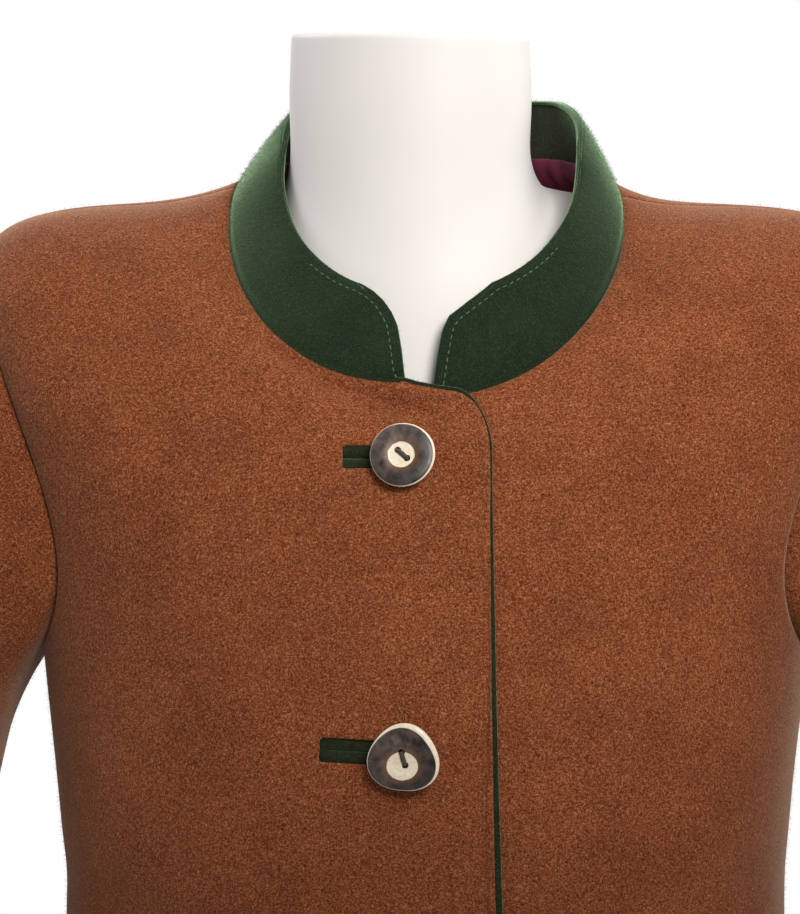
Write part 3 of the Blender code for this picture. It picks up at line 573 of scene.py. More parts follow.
def grid_mesh(name, rows, closed=False):
    """A mesh through rows of points, each running the way the angle grows, from the bottom up."""
    rows = np.asarray(rows, float)
    tall, wide = rows.shape[:2]
    index = np.arange(tall * wide).reshape(tall, wide)
    right = np.roll(index, -1, axis=1) if closed else index[:, 1:]
    left = index if closed else index[:, :-1]
    faces = np.stack((left[:-1], right[:-1], right[1:], left[1:]), axis=-1).reshape(-1, 4)
    mesh = bpy.data.meshes.new(name)
    mesh.from_pydata(place(rows).reshape(-1, 3).tolist(), [], faces.tolist())
    across = np.linalg.norm(np.diff(rows, axis=1), axis=2).mean(axis=0)
    upward = np.linalg.norm(np.diff(rows, axis=0), axis=2).mean(axis=1)
    u = np.concatenate(([0.0], np.cumsum(across))) * MM
    v = np.concatenate(([0.0], np.cumsum(upward))) * MM
    uv = np.stack(np.meshgrid(u, v), axis=-1).reshape(-1, 2)
    mesh.uv_layers.new(name="UVMap").data.foreach_set("uv", uv[faces.reshape(-1)].reshape(-1))
    mesh.shade_smooth()
    mesh.update()
    return mesh


def settle(piece):
    """Turns the piece and its live modifiers into one plain mesh."""
    bpy.context.view_layer.update()
    graph = bpy.context.evaluated_depsgraph_get()
    mesh = bpy.data.meshes.new_from_object(piece.evaluated_get(graph))
    name = piece.name
    bpy.data.objects.remove(piece)
    made = link(name, mesh)
    made.name = name
    return made


def face_directions(rows, closed=False):
    """The direction out of the cloth at each grid point."""
    if closed:
        around = np.roll(rows, -1, axis=1) - np.roll(rows, 1, axis=1)
    else:
        around = np.gradient(rows, axis=1)
    return unit(np.cross(around, np.gradient(rows, axis=0)))


def rims_of(index, closed):
    """The grid's edges as closed loops of point numbers, with the cloth on their left."""
    if closed:
        return [index[0], index[-1][::-1]]
    return [np.concatenate((index[0], index[1:, -1], index[-1, -2::-1], index[-2:0:-1, 0]))]


def print_triangles(piece):
    print(f"{piece.name}: {sum(len(face.vertices) - 2 for face in piece.data.polygons)} triangles")


def mesh_from(name, shape):
    """The mesh of a bmesh, which isn't needed afterwards."""
    mesh = bpy.data.meshes.new(name)
    shape.to_mesh(mesh)
    shape.free()
    return mesh


def cut_out(piece, name, cutter):
    """The cutter is taken out of the piece once the piece is settled."""
    cut = piece.modifiers.new(name, "BOOLEAN")
    cut.operation = "DIFFERENCE"
    cut.object = cutter


def once_round(count):
    """Even turns all the way round, in radians."""
    return np.arange(count) * 2 * math.pi / count


def ring_of(radius, turn, height):
    return np.stack((radius * np.cos(turn), radius * np.sin(turn), height + 0 * turn), axis=1)


def closed_grid(name, rows):
    """The mesh of rings, with its two ends filled."""
    mesh = grid_mesh(name, rows, closed=True)
    shape = bmesh.new()
    shape.from_mesh(mesh)
    bmesh.ops.holes_fill(shape, edges=[edge for edge in shape.edges if edge.is_boundary])
    bmesh.ops.recalc_face_normals(shape, faces=shape.faces)
    shape.to_mesh(mesh)
    shape.free()
    return mesh


def add_solid(name, rows, material):
    """A closed body through rings from the bottom up."""
    mesh = closed_grid(name, rows)
    mesh.materials.append(material)
    mesh.shade_smooth()
    return link(name, mesh)


def add_tube(name, rings, material):
    """A closed tube whose rows run around it and whose columns run along it."""
    return add_solid(name, np.swapaxes(rings, 0, 1), material)


RIM_STEPS = 4
# height, middle, width and depth of the rise beside the collar, and where it starts and is full
SHOULDER_LIFT, LIFT_X, LIFT_Y, LIFT_WIDTH, LIFT_DEPTH = 3.6, -92, -5, 24, 45
LIFT_START, LIFT_FULL = -88, -48


def lifted(rows):
    """The wearer's right shoulder stands a little higher beside the collar."""
    x, y, z = (rows[..., axis] for axis in range(3))
    lift = SHOULDER_LIFT * np.exp(-((x - LIFT_X) / LIFT_WIDTH) ** 2 - ((y - LIFT_Y) / LIFT_DEPTH) ** 2)
    lift = lift * fade(LIFT_FULL - z, LIFT_FULL - LIFT_START)
    return rows + np.stack((0 * lift, 0 * lift, lift), axis=-1)


def add_shell(name, rows, thickness, material, closed=False, rounding=0.5, cutters=()):
    """A wall of cloth with its middle on the grid, its cut edges joined by a half round."""
    rows = lifted(np.asarray(rows, float))
    mesh = grid_mesh(name, rows, closed)
    count = rows.shape[0] * rows.shape[1]
    out = face_directions(rows, closed).reshape(-1, 3)
    middle = rows.reshape(-1, 3)
    points = [middle + out * thickness / 2, middle - out * thickness / 2]
    outer = np.array([face.vertices for face in mesh.polygons])
    faces = [outer, outer[:, ::-1] + count]
    source = [np.arange(count), np.arange(count)]
    total = 2 * count
    for rim in rims_of(np.arange(count).reshape(rows.shape[:2]), closed):
        edge = middle[rim]
        beyond = unit(np.cross(np.roll(edge, -1, axis=0) - np.roll(edge, 1, axis=0), out[rim]))
        loop = rim
        for step in range(1, RIM_STEPS + 1):
            turn = math.pi * step / RIM_STEPS
            if step < RIM_STEPS:
                following = total + np.arange(len(rim))
                points.append(edge + out[rim] * thickness / 2 * math.cos(turn)
                              + beyond * rounding * math.sin(turn))
                source.append(rim)
                total += len(rim)
            else:
                following = rim + count
            faces.append(np.stack((np.roll(loop, -1), loop, following, np.roll(following, -1)), axis=1))
            loop = following
    uv = np.zeros((count, 2))
    loops = np.array([loop.vertex_index for loop in mesh.loops])
    uv[loops] = np.array([item.uv for item in mesh.uv_layers[0].data])
    shell = bpy.data.meshes.new(name)
    faces = np.concatenate(faces)
    shell.from_pydata(place(np.concatenate(points)).tolist(), [], faces.tolist())
    uv = uv[np.concatenate(source)][faces.reshape(-1)]
    shell.uv_layers.new(name="UVMap").data.foreach_set("uv", uv.reshape(-1))
    shell.materials.append(material)
    shell.shade_smooth()
    bpy.data.meshes.remove(mesh)
    piece = link(name, shell)
    for cutter in cutters:
        cut_out(piece, "Buttonhole", cutter)
    if cutters:
        piece = settle(piece)
    print_triangles(piece)
    return piece


def fade(distance, width):
    """1 at 0, falling smoothly to 0 at width."""
    share = np.clip(distance / width, 0.0, 1.0)
    return 1 - share * share * (3 - 2 * share)


def lengths_from(rows, axis, last=False):
    """Each point's distance along the grid from its first or last row or column."""
    steps = np.linalg.norm(np.diff(rows, axis=axis), axis=2)
    zero = np.zeros_like(np.take(steps, [0], axis=axis))
    if last:
        steps = np.flip(steps, axis=axis)
    run = np.cumsum(np.concatenate((zero, steps), axis=axis), axis=axis)
    return np.flip(run, axis=axis) if last else run


# %% [markdown]
# ## Creases
# Thick wool makes few folds, and they are soft: a trough with a low ridge beside it. Each row of
# the table is one crease, from one point to another as seen from the front or the side, with its
# width and depth. None is like the next, because evenly spaced folds look pressed in by machine.

# %% Creases
Crease = namedtuple("Crease", "x1 z1 x2 z2 width depth")

OVER_CREASES = (
    Crease(7, -99, -52, -77, 5.2, 3.8),
    Crease(-74, -64, -26, -90, 9, 1.5),
    Crease(-20, -108, -62, -150, 12, 1.0),
    Crease(-150, -60, -96, -128, 16, 2.0),
    Crease(-30, -236, -96, -262, 15, 1.2),
    Crease(-36, -366, -120, -352, 14, 2.0),
    Crease(-20, -392, -150, -408, 17, 2.4),
    Crease(-120, -440, -40, -470, 19, 1.7),
    Crease(-160, -300, -100, -330, 15, 1.8),
    Crease(-30, -494, -90, -540, 18, 1.4),
)
UNDER_CREASES = (
    Crease(44, -96, 36, -150, 9, 0.9),
    Crease(60, -86, 112, -140, 15, 0.9),
    Crease(150, -64, 104, -124, 15, 1.2),
    Crease(42, -240, 90, -284, 16, 1.1),
    Crease(38, -372, 118, -350, 15, 1.7),
    Crease(44, -398, 152, -420, 18, 2.1),
    Crease(60, -452, 130, -478, 18, 1.4),
    Crease(100, -318, 158, -300, 15, 1.5),
    Crease(40, -508, 110, -548, 18, 1.4),
)
BACK_CREASES = (
    Crease(-70, -60, 60, -66, 14, 2.0),
    Crease(120, -90, 70, -170, 17, 2.2),
    Crease(-126, -96, -84, -160, 15, 1.9),
    Crease(20, -150, 34, -250, 20, 1.5),
    Crease(-150, -330, -40, -372, 18, 3.2),
    Crease(146, -344, 30, -384, 20, 2.9),
    Crease(-130, -392, 10, -408, 16, 3.6),
    Crease(128, -412, 20, -424, 17, 2.7),
    Crease(-90, -470, -40, -560, 22, 2.0),
    Crease(70, -462, 96, -556, 22, 1.9),
)
SLEEVE_CREASES = (
    Crease(-66, -150, 10, -196, 14, 2.5),
    Crease(-60, -262, 36, -300, 16, 2.9),
    Crease(-64, -352, 20, -366, 13, 4.0),
    Crease(-58, -384, 34, -402, 12, 4.3),
    Crease(-60, -418, 10, -426, 12, 3.2),
    Crease(24, -340, 60, -392, 15, 2.2),
    Crease(-70, -500, 12, -536, 18, 1.8),
)


def crease_move(across, height, creases):
    """How far the cloth moves out at each point, in millimetres: troughs are below zero."""
    move = np.zeros_like(across)
    for row in creases:
        start = np.array((row.x1, row.z1), float)
        run = np.array((row.x2, row.z2), float) - start
        length = math.hypot(*run)
        share = ((across - start[0]) * run[0] + (height - start[1]) * run[1]) / length ** 2
        off = ((across - start[0]) * run[1] - (height - start[1]) * run[0]) / length
        off = off + 0.06 * length * np.sin(np.clip(share, 0, 1) * math.pi)
        taper = fade(np.abs(share - 0.5) - 0.12, 0.62)
        trough = -np.exp(-(off / row.width) ** 2)
        ridge = 0.45 * np.exp(-((off - 1.7 * row.width) / row.width) ** 2)
        move += row.depth * taper * (trough + ridge)
    return move


print("creases:", len(OVER_CREASES) + len(UNDER_CREASES) + len(BACK_CREASES) + 2 * len(SLEEVE_CREASES))

# %% [markdown]
# ## The fronts
# The wearer's right front laps over the left one and ends in a rounded corner above the first
# button. Its grid keeps upright columns near that edge, so the edge, its stitching and the corner
# follow grid lines. The under front has the same cut, mirrored, and hides its edge. Each surface
# dips beside a seam, since the seam's turnings pull the nap down there: that dip is what makes a
# seam read as sewn and not as two sheets that meet.

# %% Panel grids
CLOTH, FELT, LINING = 2.0, 1.4, 1.0          # walls, in millimetres
SEAM_GAP, SEAM_SPACE, LAYER_GAP = 0.3, 1.1, 0.5
LAP, LAP_WIDTH, LAP_FADE = 1.5, 45.0, 60.0
FRONT_EDGE, EDGE_LEAN, LEAN_START = 31.6, 0.017, -118.0
CORNER_WIDTH, CORNER_HEIGHT = 17.0, 26.0
COLUMN_STOP, TRIM_START = -24.0, -4.0
TOP_FALL, TOP_DROP = 0.20, 1.5
UNDER_SAG, UNDER_TUCK, COLLAR_ROLL = 5.0, 3.0, 1.0
COLLAR_GAP = 6.3                             # from the centre front to the collar's end at the seam
ARMHOLE_HALF_ANGLE = 31.0
SEAM_DIP, SEAM_DIP_WIDTH = 1.1, 1.8
OVER, UNDER = -1, 1                          # the side that each front lies on


def lap(x, side):
    """How far a front stands off the plain surface, so that the over front clears the under one."""
    return -side * LAP * fade(np.abs(x) - LAP_WIDTH, LAP_FADE)


def cloth_point(angle, level, side=0, out=0.0):
    point = jacket.point(angle, level)
    front = fade(np.abs(angle) - 90, 50)
    lift = out + (lap(point[..., 0], side) * front if side else 0.0)
    return point + np.asarray(lift)[..., None] * jacket.normal(angle, level)


def sag(angle, level, side):
    """The under front's neckline hangs lower near the centre front."""
    if side != UNDER:
        return np.zeros_like(angle * level)
    return UNDER_SAG * fade(np.abs(angle), 75) * (1 - fade(level - TOP + 60, 60))


def sagged(points, drop):
    return points - np.stack((0 * drop, 0 * drop, drop), axis=-1)


def panel_levels():
    low = np.linspace(0, jacket.at["ribs"], 48)[:-1]
    body = np.concatenate((low, np.linspace(jacket.at["ribs"], ARMPIT, 52)[:-1]))
    armhole = ARMPIT + (TIP - ARMPIT) * (1 - np.cos(np.linspace(0, math.pi, 41))) / 2
    return np.concatenate((body, armhole, np.linspace(TIP, TOP, 26)[1:]))


def armhole_angle(level):
    share = np.clip((level - ARMPIT) / (TIP - ARMPIT), 0, 1)
    return ARMHOLE_HALF_ANGLE * (1 - np.abs(2 * share - 1) ** 2.3) ** (1 / 2.3)


def seam_angle(level):
    return jacket.columns["seam"](level)


def outer_angle(level, front):
    """Where a panel ends: side seam, armhole, then shoulder seam."""
    away = armhole_angle(level) + np.degrees(SEAM_SPACE / 2 / jacket.columns["half_width"](level))
    return seam_angle(level) - away if front else seam_angle(level) + away


def over_top_drop(x):
    """How far the over front's free top edge lies below the neck ring."""
    drop = np.maximum(x, 0.0) * TOP_FALL + TOP_DROP * (1 - fade(x + COLLAR_GAP, COLLAR_GAP))
    share = np.clip((x - FRONT_EDGE + CORNER_WIDTH) / CORNER_WIDTH, 0.0, 1.0)
    return drop + CORNER_HEIGHT * (1 - np.sqrt(1 - share * share))


def edge_columns(side):
    corner = FRONT_EDGE - CORNER_WIDTH * (1 - np.sin(np.radians(np.linspace(90, 6, 15))))
    inward = np.linspace(FRONT_EDGE - CORNER_WIDTH, COLUMN_STOP, 16)[1:]
    columns = np.concatenate((corner, inward))
    return -columns if side == UNDER else columns


def leaned(x, level, side):
    if side == UNDER:
        return x + 0 * level
    share = (x - COLUMN_STOP) / (FRONT_EDGE - COLUMN_STOP)
    return x + share * EDGE_LEAN * np.maximum(LEAN_START - jacket.columns["front_z"](level), 0.0)


def front_top_level(x, side):
    if side == OVER:
        drop = over_top_drop(x)
    else:
        drop = (UNDER_TUCK * fade(x + COLLAR_GAP, 2 * COLLAR_GAP)
                + 2 * TOP_FALL * np.maximum(-x - COLLAR_GAP, 0))
    height = jacket.point(jacket.angle_at(x, TOP), TOP)[..., 2]
    return np.where(drop > 0, jacket.level_at(x, height - drop), TOP)


def front_grid(side):
    """Angles and levels of a front's points, rows from the hem up, columns the way the angle grows."""
    levels = panel_levels()
    near = edge_columns(side)
    low = jacket.at["bust"]
    tops = front_top_level(near, side)
    here = np.where(levels[:, None] > low,
                    low + (levels[:, None] - low) * (tops - low) / (TOP - low), levels[:, None])
    near_angle = jacket.angle_at(leaned(near, here, side), here)
    share = np.linspace(0, 1, 61)[1:]
    start = jacket.angle_at(near[-1] + 0 * levels, levels)[:, None]
    seam = side * seam_angle(levels)[:, None]
    cut = side * outer_angle(levels, front=True)[:, None] - seam
    far_angle = start + (seam - start) * share + cut * share ** 3
    angle = np.concatenate((near_angle, far_angle), axis=1)
    level = np.concatenate((here, levels[:, None] + 0 * share), axis=1)
    return (angle, level) if side == UNDER else (angle[:, ::-1], level[:, ::-1])


def seam_dip(distance):
    return -SEAM_DIP * np.exp(-(distance / SEAM_DIP_WIDTH) ** 2)


def shoulder_share(level):
    """The shoulder seam is pressed flatter than the others."""
    return 0.25 + 0.75 * fade(level - TIP + 8, 12)


def front_rows(side, plain=False):
    angle, level = front_grid(side)
    rows = sagged(cloth_point(angle, level, side), sag(angle, level, side))
    if plain:
        return rows
    to_seam = lengths_from(rows, 1, last=side != OVER)
    to_top = lengths_from(rows, 0, last=True)
    free = fade(np.abs(rows[..., 0]) - COLLAR_GAP, 2) if side == OVER else 0 * to_top
    past_end = np.where(side * rows[..., 0] < 0, 1.0, free) if side == OVER else 0 * to_top
    move = crease_move(rows[..., 0], rows[..., 2], OVER_CREASES if side == OVER else UNDER_CREASES)
    move = move * fade(12 - to_seam, 12) * fade(5 - to_top, 5)
    move += seam_dip(to_seam) * shoulder_share(level) + seam_dip(to_top) * (1 - past_end)
    move += hem_fold(lengths_from(rows, 0))
    if side == OVER:
        move += stitch_groove(lengths_from(rows, 1, last=True), FRONT_INSET)
        move += np.where(past_end > 0.5, stitch_groove(to_top, FRONT_INSET), 0.0)
    return rows + move[..., None] * jacket.normal(angle, level)


def hem_fold(distance):
    """The turned-up hem shows as a faint step where it ends inside."""
    return 0.35 * fade(distance - 30, 7)


FRONT_INSET = 3.1          # of the front's row of stitches from the free edge


def stitch_groove(distance, where):
    """A row of stitches pulls the cloth down, and the edge beyond it swells a little."""
    return -0.95 * np.exp(-((distance - where) / 1.0) ** 2) + 0.2 * fade(distance, where * 0.8)


over_rows = front_rows(OVER)
under_rows = front_rows(UNDER)
print("front grid:", over_rows.shape[:2])

# %% [markdown]
# ## Bound buttonholes
# A tailor's bound buttonhole is a small rectangle cut through the front, whose edges are turned in
# and whose opening is filled by two lips of felt that meet in a slit. The rectangle is a real cut
# here, made with a Boolean, and the lips are two padded strips that bulge a little and lie just
# below the loden's face.

# %% Buttonholes
Button = namedtuple("Button", "x z width height hole_start slant turn tilt tilt_to")
BUTTONS = (
    Button(-5, -119, 28, 28, -31.2, 0, -48, 6, 225),
    Button(-2.6, -241.5, 32, 30, -39, -3, -17, 9, 235),
    Button(-5, -374, 29, 28, -35, 0, -30, 5, 225),
    Button(-5, -503, 28, 29, -35, 0, 20, 5, 240),
)
HOLE_HEIGHT, HOLE_RISE, HOLE_PAST, WELT_STOP = 10.3, 1.1, 8.0, 1.0


def front_frame(x, z, side=OVER, slant=0.0):
    """A point of a front, with the directions along it, up it and out of it."""
    level = float(jacket.level_at(np.float64(x), z))
    angle = float(jacket.angle_at(x, level))
    outward = Vector(jacket.normal(angle, level))
    along = (Vector((1, 0, 0)) - outward * outward.x).normalized()
    along.rotate(Matrix.Rotation(math.radians(slant), 3, outward))
    return Vector(cloth_point(angle, level, side)), along, outward.cross(along), outward


def hole_height(row, x):
    return row.z + HOLE_RISE + math.tan(math.radians(row.slant)) * (x - row.x)


def axes_at(where, along, upward, outward):
    turn = Matrix((along, upward, outward)).transposed().to_4x4()
    return Matrix.Translation(Vector(place(where))) @ turn


def add_hole_cutter(row):
    length = row.x + HOLE_PAST - row.hole_start
    middle = row.hole_start + length / 2
    shape = bmesh.new()
    bmesh.ops.create_cube(shape, size=1)
    bmesh.ops.transform(shape, verts=shape.verts,
                        matrix=Matrix.Diagonal((length * MM, HOLE_HEIGHT * MM, 9 * MM, 1)))
    upright = [edge for edge in shape.edges if abs((edge.verts[0].co - edge.verts[1].co).z) > 8 * MM]
    bmesh.ops.bevel(shape, geom=upright, offset=0.8 * MM, segments=3, affect="EDGES")
    frame_there = front_frame(middle, hole_height(row, middle), slant=row.slant)
    shape.transform(axes_at(*frame_there))
    return link("buttonhole cutter", mesh_from("buttonhole cutter", shape))


def add_welt(index, row, upper):
    """One lip of felt: a strip whose section is a low arch, thickest at the slit."""
    start, stop = row.hole_start + SEAM_GAP, row.x - WELT_STOP
    low = 0.45 if upper else -HOLE_HEIGHT / 2 - 0.5
    high = HOLE_HEIGHT / 2 + 0.5 if upper else -0.45
    rows = []
    for share in np.linspace(0, 1, 15):
        line = []
        for x in np.linspace(start, stop, 30):
            where, _, upward, outward = front_frame(x, hole_height(row, x), slant=row.slant)
            arch = 2.0 * math.sqrt(max(1 - (2 * share - 1) ** 2, 0)) - 2.5
            ripple = 0.16 * math.sin(x * 1.9 + index * 2 + upper) + 0.1 * math.sin(x * 4.3 + index)
            line.append(where + upward * (low + (high - low) * share + 0.12 * ripple)
                        + outward * (arch + 0.35 * ripple * (1 - abs(2 * share - 1))))
        rows.append(line)
    name = f"welt {index} {'upper' if upper else 'lower'}".replace(" ", "_")
    return add_shell(name + "_felt", rows, 1.2, edge_felt, rounding=0.2)


cutters = [add_hole_cutter(row) for row in BUTTONS]
front_over = add_shell("front_over_cloth", over_rows, CLOTH, loden, cutters=cutters)
front_under = add_shell("front_under_cloth", under_rows, CLOTH, loden)
for cutter in cutters:
    bpy.data.objects.remove(cutter)
welts = {
    (index, upper): add_welt(index, row, upper)
    for index, row in enumerate(BUTTONS, 1) for upper in (True, False)
}
print("welts:", len(welts))

# %% [markdown]
# ## Back and sleeves
# The back is one piece. The sleeves are tubes that start on the armhole's own edge and settle into
# plain ovals further down, which is how a set-in sleeve's fullness is eased away. The back gets the
# same few soft creases as the front, most of them at the waist, where a back always has them.

# %% Back and sleeves
def back_grid(levels, skip=0.0):
    """Angles and levels of the back's points; skip leaves out degrees at both sides."""
    start = outer_angle(levels, front=False)[:, None] + skip
    share = np.linspace(0, 1, 109)
    return start + (360 - 2 * start) * share, levels[:, None] + 0 * share


def back_rows():
    angle, level = back_grid(panel_levels())
    rows = cloth_point(angle, level)
    to_seam = np.minimum(lengths_from(rows, 1), lengths_from(rows, 1, last=True))
    to_top = lengths_from(rows, 0, last=True)
    move = crease_move(rows[..., 0], rows[..., 2], BACK_CREASES)
    move = move * fade(14 - to_seam, 14) * fade(14 - to_top, 14)
    move += seam_dip(to_seam) * shoulder_share(level) + seam_dip(to_top) + hem_fold(lengths_from(rows, 0))
    return rows + move[..., None] * jacket.normal(angle, level)


SleeveRing = namedtuple("SleeveRing", "name inner_x inner_z outer_x outer_z middle_y half_depth")
SLEEVE = (
    SleeveRing("armhole", 170, -207, 197, -30, -9, 62),
    SleeveRing("cap", 177, -217, 224, -34, -9, 62),
    SleeveRing("crown", 183, -231, 246, -57, -9, 61),
    SleeveRing("deltoid", 188, -249, 260, -101, -10, 59),
    SleeveRing("biceps", 194, -281, 268, -178, -11, 57),
    SleeveRing("elbow", 204, -392, 281, -360, -17, 51),
    SleeveRing("forearm", 210, -500, 286, -490, -28, 47),
    SleeveRing("cuff", 214, -604, 284, -610, -42, 43),
)
SLEEVE_STAND = 2.0


def armhole_edge(count):
    """The armhole's edge on the left side, from the armpit up the front and down the back."""
    turn = once_round(count)
    level = ARMPIT + (TIP - ARMPIT) * (1 - np.cos(turn)) / 2
    away = armhole_angle(level) * np.where(turn <= math.pi, -1, 1)
    return cloth_point(seam_angle(level) + away, level)


def sleeve_rows():
    """Rings of the left sleeve from the cuff up to the armhole, each starting at the inner point."""
    count = 96
    spacing = np.concatenate(([0.0], np.cumsum([
        math.dist((a.outer_x, a.outer_z), (b.outer_x, b.outer_z)) + 20 for a, b in zip(SLEEVE, SLEEVE[1:])
    ])))
    columns = {field: natural_spline(spacing, [getattr(ring, field) for ring in SLEEVE])
               for field in SleeveRing._fields[1:]}
    turn = once_round(count)

    def ring_at(at):
        row = {field: curve(at) for field, curve in columns.items()}
        inner = np.array((row["inner_x"], row["middle_y"], row["inner_z"]))
        outer = np.array((row["outer_x"], row["middle_y"], row["outer_z"]))
        depth = np.array((0, -row["half_depth"], 0))
        return ((inner + outer) / 2 + (inner - outer) / 2 * np.cos(turn)[:, None]
                + depth * np.sin(turn)[:, None])

    edge, start = armhole_edge(count), ring_at(0.0)
    rows = []
    for share in np.linspace(1, 0, 121):
        at = spacing[-1] * share ** 1.25
        ring = ring_at(at) + (edge - start) * fade(at, spacing[3])
        ring[:, 0] += SLEEVE_STAND * fade(at, 60)
        rows.append(ring)
    for tuck in (0.8, 1.7):
        rows.append(rows[120] - (tuck, 0, 0))
    rows = np.array(rows)
    around = np.roll(rows, -1, axis=1) - np.roll(rows, 1, axis=1)
    outward = unit(np.cross(around, np.gradient(rows, axis=0)))
    to_armhole = lengths_from(rows, 0, last=True)
    middle = rows.mean(axis=1, keepdims=True)
    across = (rows - middle)[..., 1] * 1.15
    facing_out = fade(-(rows - middle)[..., 0], 30)
    move = crease_move(across, rows[..., 2], SLEEVE_CREASES) * (0.35 + 0.65 * facing_out)
    move = move * fade(16 - to_armhole, 16) + seam_dip(to_armhole) + hem_fold(lengths_from(rows, 0))
    swell = 1.5 * np.exp(-((to_armhole - 8) / 7) ** 2) * fade(-(rows[..., 2] + 120), 60)
    return rows + (move + swell)[..., None] * outward


def mirrored(rows):
    """The same rows on the other side, turned so that they still run the way the angle grows."""
    return np.asarray(rows)[:, ::-1] * (-1, 1, 1)


back = add_shell("back_cloth", back_rows(), CLOTH, loden)
left_rows = sleeve_rows()
sleeve_left = add_shell("sleeve_left_cloth", left_rows, CLOTH, loden, closed=True)
sleeve_right = add_shell("sleeve_right_cloth", mirrored(left_rows), CLOTH, loden, closed=True)

# %% [markdown]
# ## The stand-up collar
# The collar is two layers of felt, joined and turned along the top and the front ends, with a row
# of stitches near that edge. Both layers close in towards each other there and the stitches press
# a groove, so the edge reads as a soft roll. The two ends are not alike: the wearer's right end
# rounds over slowly and the left end is cut squarer.

# %% Collar
CollarEnd = namedtuple("CollarEnd", "share right left")
COLLAR_END = (
    CollarEnd(0.0, 6.3, 6.3),
    CollarEnd(0.35, 8.6, 7.9),
    CollarEnd(0.62, 11.0, 9.6),
    CollarEnd(0.76, 13.8, 12.2),
    CollarEnd(0.88, 17.6, 20.0),
    CollarEnd(0.96, 22.0, 26.5),
    CollarEnd(1.0, 27.0, 30.0),
)
STITCH_INSET = 3.4
COLLAR_REST = 1.7           # the collar leans on the neck at the wearer's right side


def collar_shares(tuck):
    """From just below the seam, so that the collar's foot goes down behind the loden's edge."""
    return np.concatenate(([-tuck, -tuck / 2], np.linspace(0, 0.76, 16)[:-1], np.linspace(0.76, 1.0, 15)))


def collar_end_angle(share, side):
    """The collar's ends lean apart and round over into the top edge."""
    column = [row.left if side == UNDER else row.right for row in COLLAR_END]
    half_gap = np.interp(share, [row.share for row in COLLAR_END], column)
    ring = jacket.ring(TOP)
    width = ring.half_width + (COLLAR_TOP.half_width - ring.half_width) * share
    return side * np.degrees(np.arcsin((half_gap / width) ** (ring.square / 2)))


def collar_point(angle, share, side, out):
    """share is 0 at the neck seam and 1 at the collar's top edge."""
    base = sagged(cloth_point(angle, TOP + 0 * angle, side), sag(angle, TOP, side))
    top = ring_point(COLLAR_TOP, angle)
    rest = COLLAR_REST * fade(np.abs(np.abs(angle) - 105), 60) * (np.sin(np.radians(angle)) < 0)
    top = top + np.stack((rest, 0 * rest, 0 * rest), axis=-1)
    along = ring_point(COLLAR_TOP, angle + 0.5) - ring_point(COLLAR_TOP, angle - 0.5)
    upward = top - base
    face = unit(np.cross(along, upward))
    lift = unit(upward) * (CLOTH / 2 + SEAM_SPACE / 2)
    roll = np.asarray(COLLAR_ROLL * 4 * share * (1 - share) + out)[..., None]
    return base + lift + (upward - lift) * np.asarray(share)[..., None] + face * roll


def collar_half(side, out):
    """Half the collar from its front end to the centre back, as rows from the seam up."""
    share = collar_shares(0.05 if out > 0 else 0.10)[:, None]
    run = np.linspace(0, 1, 101) ** 1.25
    start = collar_end_angle(share, side)
    angle = start + (side * 180 - start) * run
    rows = collar_point(angle, share + 0 * angle, side, out + 0 * angle)
    to_edge = np.minimum(lengths_from(rows, 1), lengths_from(rows, 0, last=True))
    layer = 1 if out > 0 else -1
    move = -layer * (abs(out) - FELT / 2 - 0.06) * fade(to_edge - 1.0, 5.0)
    if layer > 0:
        move -= 0.30 * np.exp(-((to_edge - STITCH_INSET) / 0.9) ** 2)
        move -= 1.2 * fade(lengths_from(rows, 0) - 2.2, 1.6)
    move += (0.5 * np.sin(np.radians(angle) * 5 + 0.6 * side) * share * (1 - share) * 2
             + 0.35 * np.sin(np.radians(angle) * 11 + side) * share ** 2)
    rows = collar_point(angle, share + 0 * angle, side, out + move)
    return rows if side == UNDER else rows[:, ::-1]


def collar_rows(out):
    left, right = collar_half(UNDER, out), collar_half(OVER, out)
    return np.concatenate((left, right[:, 1:]), axis=1)


LAYER_OUT = (FELT + LAYER_GAP) / 2
outer_collar_rows = collar_rows(LAYER_OUT)
collar_outer = add_shell("collar_outer_felt", outer_collar_rows, FELT, felt, rounding=0.5)
collar_inner = add_shell("collar_inner_felt", collar_rows(-LAYER_OUT), FELT, inner_felt, rounding=0.5)

# %% [markdown]
# The outer felt turns over the free edge, so one round edge covers both layers. It is a thin tube
# along the middle of the collar's grid, from one end over the top to the other.

# %% Collar's turned edge
def collar_edge_rows():
    rows = collar_rows(0.0)
    out = face_directions(rows)
    path = np.concatenate((rows[1:-1, 0], rows[-1], rows[-2:0:-1, -1]))
    out = np.concatenate((out[1:-1, 0], out[-1], out[-2:0:-1, -1]))
    beyond = unit(np.cross(out, unit(np.gradient(path, axis=0))))
    beyond = beyond * np.sign(np.sum(beyond[len(path) // 2] * (0, 0, 1)))
    return lifted(np.array([path + out * (FELT + 0.12) * math.cos(turn)
                            + beyond * (0.75 * math.sin(turn) - 0.1)
                            for turn in once_round(12)]))


print("collar edge:", collar_edge_rows().shape[:2])

# %% [markdown]
# ## Lining inside the back neck
# The lining shows only between collar and form. It is thinner than the loden and cut a little too
# wide on purpose, so it stands in small upright folds under the collar.

# %% Lining
LINING_DEPTH, LINING_LAP = 75.0, 1.5
# middle and width as shares of the back's half, and height as a share of the deepest
LINING_FOLDS = ((-0.68, 0.022, 0.8), (-0.60, 0.020, 1.0), (-0.53, 0.022, 0.8), (-0.45, 0.020, 1.0),
                (-0.38, 0.024, 0.7), (-0.28, 0.030, 0.8), (-0.12, 0.050, 0.6), (0.18, 0.040, 0.8),
                (0.36, 0.030, 0.9), (0.46, 0.022, 1.0), (0.55, 0.025, 0.7), (0.63, 0.022, 0.9))


